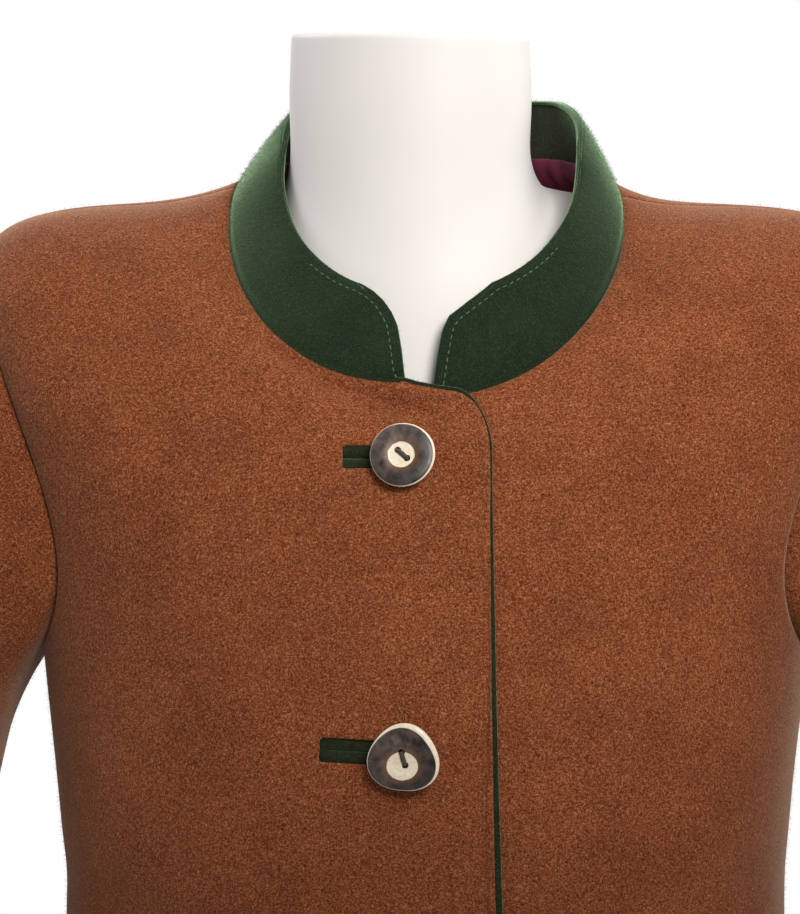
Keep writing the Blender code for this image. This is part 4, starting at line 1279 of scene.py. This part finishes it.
def lining_rows():
    levels = np.linspace(TOP - LINING_DEPTH + 6, TOP - 1, 34)
    angle, level = back_grid(levels, skip=6.0)
    inside = CLOTH / 2 + SEAM_GAP + LINING / 2
    rows = cloth_point(angle, level, 0, -inside - LINING_LAP * fade(TOP - level, 16))
    ends = [collar_point(angle[-1], share + 0 * angle[-1], UNDER, -inside - LINING_LAP + 0 * angle[-1])
            for share in (0.02, 0.06, 0.10)]
    rows = np.concatenate((rows, ends))
    run = (angle[:1] - 180) / 100
    folds = sum(height * np.exp(-((run - middle) / width) ** 2) for middle, width, height in LINING_FOLDS)
    depth = 2.4 * (1 - 0.4 * fade(lengths_from(rows, 0, last=True), 12))
    return rows - (folds * depth)[..., None] * face_directions(rows)


neck_lining = add_shell("back_neck_lining_cloth", lining_rows(), LINING, lining_cloth, rounding=0.25)

# %% [markdown]
# ## The felt edge
# A narrow strip of green felt is caught between the over front and its facing, and peeps out along
# the free edge. It is a fine line at the top corner and grows wider towards the hem, where the
# front turns a little and shows more of it.

# %% Felt edge
# the line's half width at the corner, what it gains down the front and along the top, its depth
EDGE_WIDTH, EDGE_GAIN, EDGE_ON_TOP, EDGE_DEPTH = 0.62, 1.7, 0.9, 1.5


def edge_path():
    """Along the over front's free edge, from the collar's end round the corner and to the hem."""
    rows = front_rows(OVER, plain=True)
    near = len(edge_columns(OVER))
    top = rows[-1, -near:]
    top = top[top[:, 0] > TRIM_START - 5.0]
    return np.concatenate((top, rows[-2::-1, -1]))


def trim_rows():
    path = edge_path()
    ahead = unit(np.gradient(path, axis=0))
    outward = unit(np.cross(np.array((0, -1, 0.15)), ahead))
    forward = unit(np.cross(ahead, outward))
    fall = np.clip((LEAN_START - 12 - path[:, 2]) / 170, 0, 1)
    on_top = 1 - fade(path[:, 2] + 98, 8)
    width = (EDGE_WIDTH + EDGE_GAIN * fall + EDGE_ON_TOP * on_top)[:, None]
    return np.array([path + outward * (width * (0.42 + math.cos(turn)) + 0.1)
                     + forward * (EDGE_DEPTH / 2 * math.sin(turn) + 0.1) for turn in once_round(12)])


felt_edge = add_tube("front_edge_felt", trim_rows(), edge_felt)
collar_edge = add_tube("collar_edge_felt", collar_edge_rows(), felt)
print("felt edge:", len(felt_edge.data.vertices), "points")

# %% [markdown]
# ## Stitches
# Stitches repeat along a line, which is a task for Geometry Nodes: the line is cut into steps of
# one stitch, and a short rounded bar is placed on each step and turned along the line. The tree
# has named inputs, so one tree serves the collar's green stitches and the front's brown ones.

# %% Stitch tree
def new_tree(name, inputs):
    """A geometry node group with one geometry input and output, and named number inputs."""
    tree = bpy.data.node_groups.new(name, "GeometryNodeTree")
    tree.interface.new_socket("Geometry", in_out="INPUT", socket_type="NodeSocketGeometry")
    sockets = {}
    for label, kind in inputs:
        sockets[label] = tree.interface.new_socket(label, in_out="INPUT", socket_type=kind).identifier
    tree.interface.new_socket("Geometry", in_out="OUTPUT", socket_type="NodeSocketGeometry")
    entry = tree.nodes.new("NodeGroupInput")
    return tree, entry.outputs, sockets


def end_tree(tree, geometry, material):
    """Every tree ends the same way: real geometry, one material, output."""
    real = add_node(tree, "GeometryNodeRealizeInstances", Geometry=geometry)
    smooth = add_node(tree, "GeometryNodeSetShadeSmooth", Geometry=real.outputs["Geometry"])
    coloured = add_node(tree, "GeometryNodeSetMaterial", Geometry=smooth.outputs[0])
    coloured.inputs["Material"].default_value = material
    tree.links.new(coloured.outputs["Geometry"], tree.nodes.new("NodeGroupOutput").inputs[0])


def make_stitch_tree(name, material):
    tree, given, sockets = new_tree(name, (
        ("Pitch", "NodeSocketFloat"), ("Length", "NodeSocketFloat"), ("Thickness", "NodeSocketFloat")))
    line = add_node(tree, "GeometryNodeMeshToCurve", Mesh=given["Geometry"])
    steps = add_node(tree, "GeometryNodeResampleCurve", {"mode": "LENGTH"}, Curve=line.outputs["Curve"],
                     Length=given["Pitch"])
    bar = add_node(tree, "GeometryNodeMeshIcoSphere", Radius=0.5, Subdivisions=2)
    size = add_node(tree, "ShaderNodeCombineXYZ", X=given["Thickness"], Y=given["Thickness"],
                    Z=given["Length"])
    along = add_node(tree, "GeometryNodeInputTangent")
    turn = add_node(tree, "FunctionNodeAlignRotationToVector", {"axis": "Z"}, Vector=along.outputs["Tangent"])
    placed = add_node(tree, "GeometryNodeInstanceOnPoints", Points=steps.outputs["Curve"],
                      Instance=bar.outputs["Mesh"], Rotation=turn.outputs["Rotation"],
                      Scale=size.outputs["Vector"])
    end_tree(tree, placed.outputs["Instances"], material)
    return tree, sockets


def line_object(name, *paths):
    """A mesh of open lines through the given points, for a tree to work along."""
    shape = bmesh.new()
    for path in paths:
        made = [shape.verts.new(point) for point in place(path)]
        for first, second in zip(made, made[1:]):
            shape.edges.new((first, second))
    return link(name, mesh_from(name, shape))


def grown(piece, tree, sockets, values):
    """The plain mesh that a tree makes of a piece."""
    made = piece.modifiers.new("Tree", "NODES")
    made.node_group = tree
    for label, value in values.items():
        made[sockets[label]] = value
    piece = settle(piece)
    print_triangles(piece)
    return piece


def laid_on(piece, line, lift):
    """The line moved onto the nearest face of the piece, and raised by a lift in millimetres."""
    found = []
    for point in place(line):
        _, spot, normal, _ = piece.closest_point_on_mesh(Vector(point))
        found.append(np.array(spot + normal * lift * MM) / MM - (0, 0, SHOULDER / MM))
    return np.array(found)


def inside_edge(edge, outward, distance, side=1):
    """A line beside an edge, at an even distance on the cloth's side of it."""
    run = np.concatenate(([0.0], np.cumsum(np.linalg.norm(np.diff(edge, axis=0), axis=1))))
    steps = np.arange(0, run[-1], 1.0)
    even = np.stack([np.interp(steps, run, edge[:, axis]) for axis in range(3)], axis=1)
    ahead = unit(np.gradient(even, 4, axis=0) + np.roll(np.gradient(even, 4, axis=0), 1, axis=0))
    return even + side * unit(np.cross(ahead, outward(even))) * distance


# %% [markdown]
# The collar's row of stitches keeps 3.4 mm from the free edge all the way: up the front end, round
# the corner and along the top. The front's row is brown on brown and lies in a groove, so only its
# small shadows show. Both lines are drawn beside the edge and then laid on the finished cloth.

# %% Collar and front stitches
def away_from_neck(points):
    """Level directions that point out of the collar, with the lean of its wall."""
    return unit(points * (1, 1, 0) + (0, 0, 25))


def collar_stitch_line(side):
    rows = collar_half(side, LAYER_OUT)
    rows = rows if side == UNDER else rows[:, ::-1]
    edge = np.concatenate((rows[:, 0], rows[-1, 1:]))
    line = inside_edge(edge, away_from_neck, STITCH_INSET, side)[3:]
    return laid_on(collar_outer, line + away_from_neck(line) * 2.5, 0.05)


def front_stitch_line():
    line = inside_edge(edge_path(), lambda points: np.array((0, -1, 0.1)), FRONT_INSET)
    return laid_on(front_over, line[:-3] + (0, -2.5, 0), 0.0)


green_tree, green_sockets = make_stitch_tree("Green stitches", green_thread)
brown_tree, brown_sockets = make_stitch_tree("Brown stitches", brown_thread)
collar_lines = line_object("collar_stitches", collar_stitch_line(UNDER), collar_stitch_line(OVER))
collar_stitches = grown(collar_lines, green_tree, green_sockets,
                        {"Pitch": 3.4 * MM, "Length": 2.1 * MM, "Thickness": 0.42 * MM})
front_lines = line_object("front_stitches", front_stitch_line())
front_stitches = grown(front_lines, brown_tree, brown_sockets,
                       {"Pitch": 2.6 * MM, "Length": 1.9 * MM, "Thickness": 0.34 * MM})

# %% [markdown]
# ## Horn buttons
# Each button is cut from a real horn, so no two are alike: one is nearly round with a thin pale
# rim, and the next is a rounded triangle with a wide pale bevel on one side. A table says how each
# one differs. The face is a polar grid that dips a little at the core and falls off at the rim, and
# the thread holes are real cuts. The places of core and bevel are stored on the points.

# %% Buttons
BUTTON_STAND = 2.2
THREAD_HOLE, HOLE_SPACING = 2.9, 5.4

Face = namedtuple("Face", "lobes lobe_turn bevel bevel_more bevel_turn core_x core_y core_width core_height")
FACES = (
    Face(0.006, 20, 0.20, 0.70, 25, -0.4, -0.2, 11.4, 11.2),
    Face(0.050, 205, 0.30, 1.90, 50, -0.4, -3.0, 13.2, 11.8),
    Face(0.015, 80, 0.45, 0.90, 140, 0.5, 0.4, 12.0, 11.0),
    Face(0.022, 310, 0.40, 1.20, -30, 0.3, -0.8, 11.4, 12.2),
)
# share of the way from the centre to the rim, and height above the button's back in millimetres
FACE_PROFILE = ((0, 3.82), (0.25, 3.84), (0.38, 3.92), (0.46, 4.2), (0.56, 4.4), (0.70, 4.36),
                (0.84, 4.16), (0.92, 3.9), (0.97, 3.5), (1.0, 2.9))
BACK_PROFILE = ((0.995, 2.3), (0.975, 1.5), (0.94, 0.9), (0.88, 0.3), (0.80, 0.0), (0.4, 0.0))


def button_frame(row):
    where, along, upward, outward = front_frame(row.x, row.z)
    lean = math.radians(row.tilt_to)
    towards = along * math.cos(lean) + upward * math.sin(lean)
    face = outward.copy()
    face.rotate(Matrix.Rotation(math.radians(row.tilt), 3, outward.cross(towards)))
    across = (along - face * along.dot(face)).normalized()
    lean_room = math.sin(math.radians(row.tilt)) * max(row.width, row.height) / 2
    back_middle = where + outward * (CLOTH / 2 + BUTTON_STAND + lean_room)
    return axes_at(back_middle, across, face.cross(across), face)


def rim_radius(row, face, turn):
    """Half the button's width in each direction; a lobed button bulges three times."""
    oval = 1 / np.hypot(np.cos(turn) / (row.width / 2), np.sin(turn) / (row.height / 2))
    return oval * (1 - face.lobes + face.lobes * np.cos(3 * (turn - math.radians(face.lobe_turn))))


def add_button(index, row, face):
    turn = once_round(112)
    shares = np.concatenate((np.linspace(0.04, 0.84, 22), np.linspace(0.86, 1.0, 11)))
    heights = np.interp(shares, *np.transpose(FACE_PROFILE))
    profile = list(zip(shares, heights)) + list(BACK_PROFILE)
    radius = rim_radius(row, face, turn)
    rings = [ring_of(radius * share, turn, height) for share, height in reversed(profile)]
    mesh = closed_grid(f"button_{index}_horn", np.array(rings) - (0, 0, SHOULDER / MM))
    mesh.materials.append(horn)
    piece = link(f"button_{index}_horn", mesh)
    piece = settle_with_holes(piece, row)
    points = np.array([vertex.co for vertex in piece.data.vertices]) / MM
    around = np.arctan2(points[:, 1], points[:, 0])
    length = np.hypot(points[:, 0], points[:, 1])
    bevel = face.bevel + face.bevel_more * (0.5 + 0.5 * np.cos(around - math.radians(face.bevel_turn))) ** 2
    core = np.hypot((points[:, 0] - face.core_x) / (face.core_width / 2),
                    (points[:, 1] - face.core_y) / (face.core_height / 2))
    values = {
        "around": around,
        "radius": length,
        "core": (core - 1) * face.core_width / 2,
        "rind": length - rim_radius(row, face, around) + bevel,
    }
    for name, value in values.items():
        piece.data.attributes.new(name, "FLOAT", "POINT").data.foreach_set("value", value)
    piece.data.transform(button_frame(row))
    return piece


def thread_turn(row):
    return Matrix.Rotation(math.radians(90 - row.turn), 4, "Z")


def settle_with_holes(piece, row):
    """Cuts the two thread holes."""
    holes = []
    for end in (-1, 1):
        shape = bmesh.new()
        bmesh.ops.create_cone(shape, cap_ends=True, segments=20, radius1=THREAD_HOLE / 2 * MM,
                              radius2=THREAD_HOLE / 2 * MM, depth=20 * MM)
        shape.transform(thread_turn(row) @ Matrix.Translation((end * HOLE_SPACING / 2 * MM, 0, 0)))
        holes.append(link("thread hole", mesh_from("thread hole", shape)))
        cut_out(piece, "Thread hole", holes[-1])
    piece = settle(piece)
    for hole in holes:
        bpy.data.objects.remove(hole)
    return piece


buttons = [add_button(index, row, face) for index, (row, face) in enumerate(zip(BUTTONS, FACES), 1)]
print("buttons:", [len(piece.data.polygons) for piece in buttons])

# %% [markdown]
# ## Sewing thread
# A button is sewn on with four or five turns of doubled thread, which lie side by side across the
# bridge between the holes and dive into them. Each turn is its own thin tube, and all of them go
# down to the under front, because this jacket hangs buttoned.

# %% Threads
STRANDS = ((-0.62, 0.0), (-0.22, 0.22), (0.20, 0.10), (0.60, -0.05), (0.02, 0.55))
STRAND = 0.44


def tube_rings(path, radius):
    """Rings of points round a path, for add_tube."""
    path = np.asarray(path, float)
    ahead = unit(np.gradient(path, axis=0))
    side = unit(np.cross(ahead, np.array((0.31, 0.52, 0.8))))
    over = np.cross(ahead, side)
    return np.array([path + radius * (side * math.cos(turn) + over * math.sin(turn))
                     for turn in once_round(8)])


def thread_path(row, sideways, raised):
    """One turn of thread: up from the under front, across the bridge and down again."""
    axes = button_frame(row) @ thread_turn(row)
    under, _, _, outward = front_frame(row.x, row.z, side=UNDER)
    under = Vector(place(under + outward * (CLOTH / 2 + 1.2)))
    half, crown = HOLE_SPACING / 2, FACE_PROFILE[0][1] + 0.35 + raised
    local = ((-half, 0.7, 0.4), (-half, 0.75, 2.6), (-half + 0.25, 0.85, crown - 0.35),
             (-half * 0.55, 1.0, crown), (0, 1.08, crown + 0.10), (half * 0.55, 1.0, crown),
             (half - 0.25, 0.85, crown - 0.35), (half, 0.75, 2.6), (half, 0.7, 0.4))
    spots = [axes @ (Vector((x, sideways * spread, z)) * MM) for x, spread, z in local]
    feet = [spot - outward * (spot - under).dot(outward) for spot in (spots[0], spots[-1])]
    spots = [feet[0], *spots, feet[1]]
    knots = np.concatenate(([0.0], np.cumsum([(b - a).length for a, b in zip(spots, spots[1:])])))
    at = np.linspace(0, knots[-1], 44)
    curves = [natural_spline(knots, [spot[axis] for spot in spots]) for axis in range(3)]
    return np.stack([curve(at) for curve in curves], axis=1) / MM - (0, 0, SHOULDER / MM)


def joined(name, pieces):
    """Several plain meshes made one piece."""
    shape = bmesh.new()
    for piece in pieces:
        shape.from_mesh(piece.data)
    material = pieces[0].data.materials[0]
    for piece in pieces:
        bpy.data.objects.remove(piece)
    mesh = mesh_from(name, shape)
    mesh.materials.append(material)
    mesh.shade_smooth()
    return link(name, mesh)


threads = []
for index, row in enumerate(BUTTONS, 1):
    strands = [add_tube("strand", tube_rings(thread_path(row, sideways, raised), STRAND), olive_thread)
               for sideways, raised in STRANDS]
    threads.append(joined(f"thread_{index}_strands", strands))
print("threads:", len(threads))

# %% [markdown]
# ## The dress form and its stand
# A limbless form fills the jacket. It is one smooth shell whose rings are cut to the same body as
# the jacket, with a flat neck and a small round along its rim. The stand is a heavy white disc
# with a turned steel pole. Both are guessed, plain pieces, and the pole carries the form.

# %% Form and stand
NECK_TILT, NECK_ROUND, FORM_ROUND = 0.6, 2.2, 8.0


def form_rows():
    top = form.levels[-1]
    levels = np.concatenate((np.linspace(0, form.at["collar_line"], 110)[:-1],
                             np.linspace(form.at["collar_line"], top, 60)))
    turn = np.linspace(-180, 180, 145)[:-1]
    rows = form.point(turn, levels[:, None])
    lift = -np.tan(math.radians(NECK_TILT)) * (rows[-1, :, 0] - FORM[-1].middle_x)
    rows[..., 2] += lift * (1 - fade(levels - form.at["neck_low"], top - form.at["neck_low"]))[:, None]
    rows = round_end(rows[::-1], FORM_ROUND)[::-1]
    return round_end(rows, NECK_ROUND)


def round_end(rows, radius):
    """Takes the last ring in by a quarter circle and closes towards the middle."""
    last, below = rows[-1], rows[-2]
    middle = last.mean(axis=0)
    inward = unit(middle - last)
    down = unit(below - last)
    keep = [ring for ring in rows if np.linalg.norm(ring - last, axis=1).mean() > radius]
    bend = [last + down * radius * (1 - math.sin(turn)) + inward * radius * (1 - math.cos(turn))
            for turn in np.linspace(0, math.pi / 2, 7)]
    flat = [last + inward * radius + (middle - last - inward * radius) * share
            for share in (0.35, 0.75, 0.95)]
    return np.array(keep + bend + flat)


def turned(profile, count=128):
    """Rings of a turned piece, from (radius, height) pairs in millimetres above the floor."""
    turn = once_round(count)
    return np.array([ring_of(radius, turn, height - SHOULDER / MM) for radius, height in profile])


BASE_PROFILE = ((20, 0), (150, 0), (153.6, 0.5), (155, 2), (155, 9.5), (154.2, 12), (152, 14.2),
                (148.5, 15.4), (143, 15.9), (60, 16), (20, 16))
POLE_PROFILE = ((6, 16.3), (16.6, 16.3), (17, 16.8), (17, 21), (16.2, 22.4), (15.2, 23), (14.6, 24.5),
                (14.6, 186), (15.2, 187.5), (17, 188.2), (17, 193.2), (16.5, 193.7), (6, 193.7))

form_body = add_solid("form_body_shell", form_rows(), form_white)
stand_base = add_solid("form_base_disc", turned(BASE_PROFILE), stand_white)
stand_pole = add_solid("form_pole_tube", turned(POLE_PROFILE, 64), steel)
print("form:", len(form_body.data.vertices), "points")

# %% [markdown]
# ## Nap and stray fibres
# Milled wool has loose fibres that stand off the cloth and catch the light, most of all along an
# edge seen against the sky. A tree scatters points over the outer faces, puts a thin straight hair
# on each and leans it at random. The hairs are flat ribbons of two triangles, which keeps a
# hundred thousand of them light enough to move about.

# %% Fibre tree
def make_fibre_tree(name, material):
    tree, given, sockets = new_tree(name, (
        ("Density", "NodeSocketFloat"), ("Length", "NodeSocketFloat"), ("Width", "NodeSocketFloat"),
        ("Spread", "NodeSocketFloat"), ("Seed", "NodeSocketInt")))
    spots = add_node(tree, "GeometryNodeDistributePointsOnFaces", Mesh=given["Geometry"],
                     Density=given["Density"], Seed=given["Seed"])
    ends = []
    for spot in ((0, 0, -0.06), (0.45, 0, 0.85)):
        sized = add_node(tree, "ShaderNodeVectorMath", {"operation": "SCALE"}, Vector=spot,
                         Scale=given["Length"])
        ends.append(sized.outputs["Vector"])
    hair = add_node(tree, "GeometryNodeCurvePrimitiveLine", Start=ends[0], End=ends[1])
    sides = [add_node(tree, "ShaderNodeCombineXYZ", X=maths(tree, "MULTIPLY", given["Width"], half))
             for half in (-0.5, 0.5)]
    profile = add_node(tree, "GeometryNodeCurvePrimitiveLine", Start=sides[0].outputs["Vector"],
                       End=sides[1].outputs["Vector"])
    spread = add_node(tree, "FunctionNodeRandomValue", {"data_type": "FLOAT_VECTOR"})
    for socket, way in ((0, (-1, -1, -1)), (1, (1, 1, 1))):
        sized = add_node(tree, "ShaderNodeVectorMath", {"operation": "SCALE"}, Vector=way,
                         Scale=given["Spread"])
        connect(tree, sized.outputs["Vector"], spread.inputs[socket])
    connect(tree, given["Seed"], spread.inputs["Seed"])
    spin = add_node(tree, "FunctionNodeRandomValue", {"data_type": "FLOAT_VECTOR"})
    connect(tree, (0, 0, 0), spin.inputs[0])
    connect(tree, (0, 0, 2 * math.pi), spin.inputs[1])
    leaned = add_node(tree, "FunctionNodeRotateRotation", {"rotation_space": "LOCAL"},
                      Rotation=spots.outputs["Rotation"], Rotate_By=spread.outputs[0])
    turned_round = add_node(tree, "FunctionNodeRotateRotation", {"rotation_space": "LOCAL"},
                            Rotation=leaned.outputs["Rotation"], Rotate_By=spin.outputs[0])
    size = add_node(tree, "FunctionNodeRandomValue", {"data_type": "FLOAT"})
    connect(tree, 0.45, size.inputs[2])
    connect(tree, 1.3, size.inputs[3])
    ribbon = add_node(tree, "GeometryNodeCurveToMesh", Curve=hair.outputs["Curve"],
                      Profile_Curve=profile.outputs["Curve"])
    scale = add_node(tree, "ShaderNodeCombineXYZ", X=size.outputs[1], Y=size.outputs[1], Z=size.outputs[1])
    placed = add_node(tree, "GeometryNodeInstanceOnPoints", Points=spots.outputs["Points"],
                      Instance=ribbon.outputs["Mesh"], Rotation=turned_round.outputs["Rotation"],
                      Scale=scale.outputs["Vector"])
    end_tree(tree, placed.outputs["Instances"], material)
    return tree, sockets


def skin_of(name, piece, keep):
    """A copy of the faces of a shell that keep(middle, normal) chooses, for hairs to grow on."""
    shape = bmesh.new()
    shape.from_mesh(piece.data)
    hidden = [face for face in shape.faces if not keep(face.calc_center_median(), face.normal)]
    bmesh.ops.delete(shape, geom=hidden, context="FACES")
    return link(name, mesh_from(name, shape))


def add_nap(name, piece, keep, tree, sockets, hairs, length, width, spread, seed):
    skin = skin_of(name, piece, keep)
    area = sum(face.area for face in skin.data.polygons)
    return grown(skin, tree, sockets, {
        "Density": hairs / area, "Length": length * MM, "Width": width * MM, "Spread": spread, "Seed": seed})


def make_fibre(name, dark, light, tint):
    """One hair takes one colour, so the noise is coarse against its width and fine along the cloth."""
    material, tree, shader = new_material(name, 0.8)
    tone = noise(tree, object_place(tree), 700.0, 2.0, 0.7)
    connect(tree, ramp(tree, tone, (0.34, dark), (0.66, light)), shader.inputs["Base Color"])
    set_sheen(shader, 0.4, 0.5, tint)
    shader.inputs["Specular IOR Level"].default_value = 0.2
    return material


# %% [markdown]
# The body's hairs grow on faces that look away from the body's middle, a sleeve's on faces that
# look away from the arm. That leaves out the inner wall, where nobody would see them.

# %% Nap on the cloth
ARM_X, ARM_Y = 0.24, -0.015


def from_body(middle, normal):
    return normal.dot(Vector((middle.x, middle.y + 0.01, 0)).normalized() + Vector((0, 0, 0.25))) > 0.05


def from_arm(side):
    return lambda middle, normal: normal.dot(Vector((middle.x - side * ARM_X, middle.y - ARM_Y, 0))) > 0


loden_fibre = make_fibre("loden fibre", (0.14, 0.038, 0.013), (0.46, 0.19, 0.095), (1.0, 0.80, 0.64))
felt_fibre = make_fibre("felt fibre", (0.009, 0.018, 0.008), (0.055, 0.095, 0.045), (0.7, 1.0, 0.66))
loden_tree, loden_sockets = make_fibre_tree("Loden nap", loden_fibre)
felt_tree, felt_sockets = make_fibre_tree("Felt nap", felt_fibre)
NAP = (
    ("front_over_nap", front_over, from_body, 24000, 11),
    ("front_under_nap", front_under, from_body, 22000, 12),
    ("back_nap", back, from_body, 20000, 13),
    ("sleeve_left_nap", sleeve_left, from_arm(1), 15000, 14),
    ("sleeve_right_nap", sleeve_right, from_arm(-1), 15000, 15),
)
loden_nap = {name: add_nap(name, piece, keep, loden_tree, loden_sockets, hairs, 1.6, 0.06, 0.95, seed)
             for name, piece, keep, hairs, seed in NAP}
collar_nap = add_nap("collar_outer_nap", collar_outer, from_body, felt_tree, felt_sockets, 22000,
                     1.4, 0.07, 0.85, 21)
edge_nap = add_nap("front_edge_nap", felt_edge, lambda middle, normal: True, felt_tree, felt_sockets, 5000,
                   1.2, 0.08, 0.8, 22)

# %% [markdown]
# ## The floor
# A pale round floor carries the stand. It stays small enough that the camera, which looks almost
# level, sees only the white studio behind the jacket.

# %% Floor
shape = bmesh.new()
bmesh.ops.create_circle(shape, cap_ends=True, segments=96, radius=1.6)
floor_mesh = mesh_from("floor", shape)
floor_paint = make_paint("pale floor", (0.70, 0.70, 0.70), 0.8, 3.0)
floor_mesh.materials.append(floor_paint)
floor = link("floor", floor_mesh)
floor.location.z = -0.0005

# %% [markdown]
# ## Joining the lesson to the frame
# Last, every piece rides on the one body, and where a piece stands for a CAD node, that node is
# hidden. Each cloth's cut size is worked out and printed. The grids were never stretched, so a
# panel's cut is its own width and length along the cloth, and its own area.

# %% Pieces and cut sizes
def cut_of(rows, closed=False):
    """Width, length and area of the flat cut, in metres, from a grid's own lengths."""
    rows = np.asarray(rows, float) * MM
    if closed:
        rows = np.concatenate((rows, rows[:, :1]), axis=1)
    width = np.linalg.norm(np.diff(rows, axis=1), axis=2).sum(axis=1).max()
    length = np.linalg.norm(np.diff(rows, axis=0), axis=2).sum(axis=0).max()
    first = np.cross(rows[:-1, 1:] - rows[:-1, :-1], rows[1:, :-1] - rows[:-1, :-1])
    second = np.cross(rows[1:, :-1] - rows[1:, 1:], rows[:-1, 1:] - rows[1:, 1:])
    area = (np.linalg.norm(first, axis=2).sum() + np.linalg.norm(second, axis=2).sum()) / 2
    return (float(width), float(length)), float(area)


def finish_piece(piece, slot, *nodes):
    if nodes:
        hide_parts(*nodes)
    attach(piece, ROOT)


finish_piece(front_over, "loden", "front_right_over")
finish_piece(front_under, "loden", "front_left_under")
finish_piece(back, "loden", "back")
finish_piece(sleeve_left, "loden", "sleeve_left")
finish_piece(sleeve_right, "loden", "sleeve_right")
finish_piece(collar_outer, "green_felt", "collar_outer")
finish_piece(collar_inner, "green_felt", "collar_inner")
finish_piece(neck_lining, "burgundy_lining", "back_neck_lining")
finish_piece(felt_edge, "green_felt", "front_edge_trim")
finish_piece(form_body, "form_white", "form_body")
finish_piece(stand_base, "stand_white", "form_base")
finish_piece(stand_pole, "stand_steel", "form_pole")
for (index, upper), piece in welts.items():
    finish_piece(piece, "green_felt", f"welt_{index}_{'upper' if upper else 'lower'}")
for index, (button, thread) in enumerate(zip(buttons, threads), 1):
    finish_piece(button, "horn", f"button_{index}")
    finish_piece(thread, "thread", f"thread_{index}")
for piece in loden_nap.values():
    finish_piece(piece, "loden")
for piece in (collar_nap, edge_nap):
    finish_piece(piece, "green_felt")
finish_piece(collar_edge, "green_felt")
finish_piece(collar_stitches, "thread")
finish_piece(front_stitches, "thread")

SHEETS = (
    (front_over, over_rows, False, ["form_body_shell"]),
    (front_under, under_rows, False, ["form_body_shell"]),
    (back, back_rows(), False, ["form_body_shell"]),
    (sleeve_left, left_rows, True, ["back_cloth"]),
    (sleeve_right, mirrored(left_rows), True, ["back_cloth"]),
    (collar_outer, outer_collar_rows, False, ["back_cloth"]),
    (collar_inner, collar_rows(-LAYER_OUT), False, ["back_cloth"]),
    (neck_lining, lining_rows(), False, ["back_cloth"]),
)
for piece, rows, closed, rests_on in SHEETS:
    flat, area = cut_of(rows, closed)
    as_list(rests_on)
    print(f"{piece.name}: cut {flat[0]:.3f} x {flat[1]:.3f} m, {area:.4f} m2")
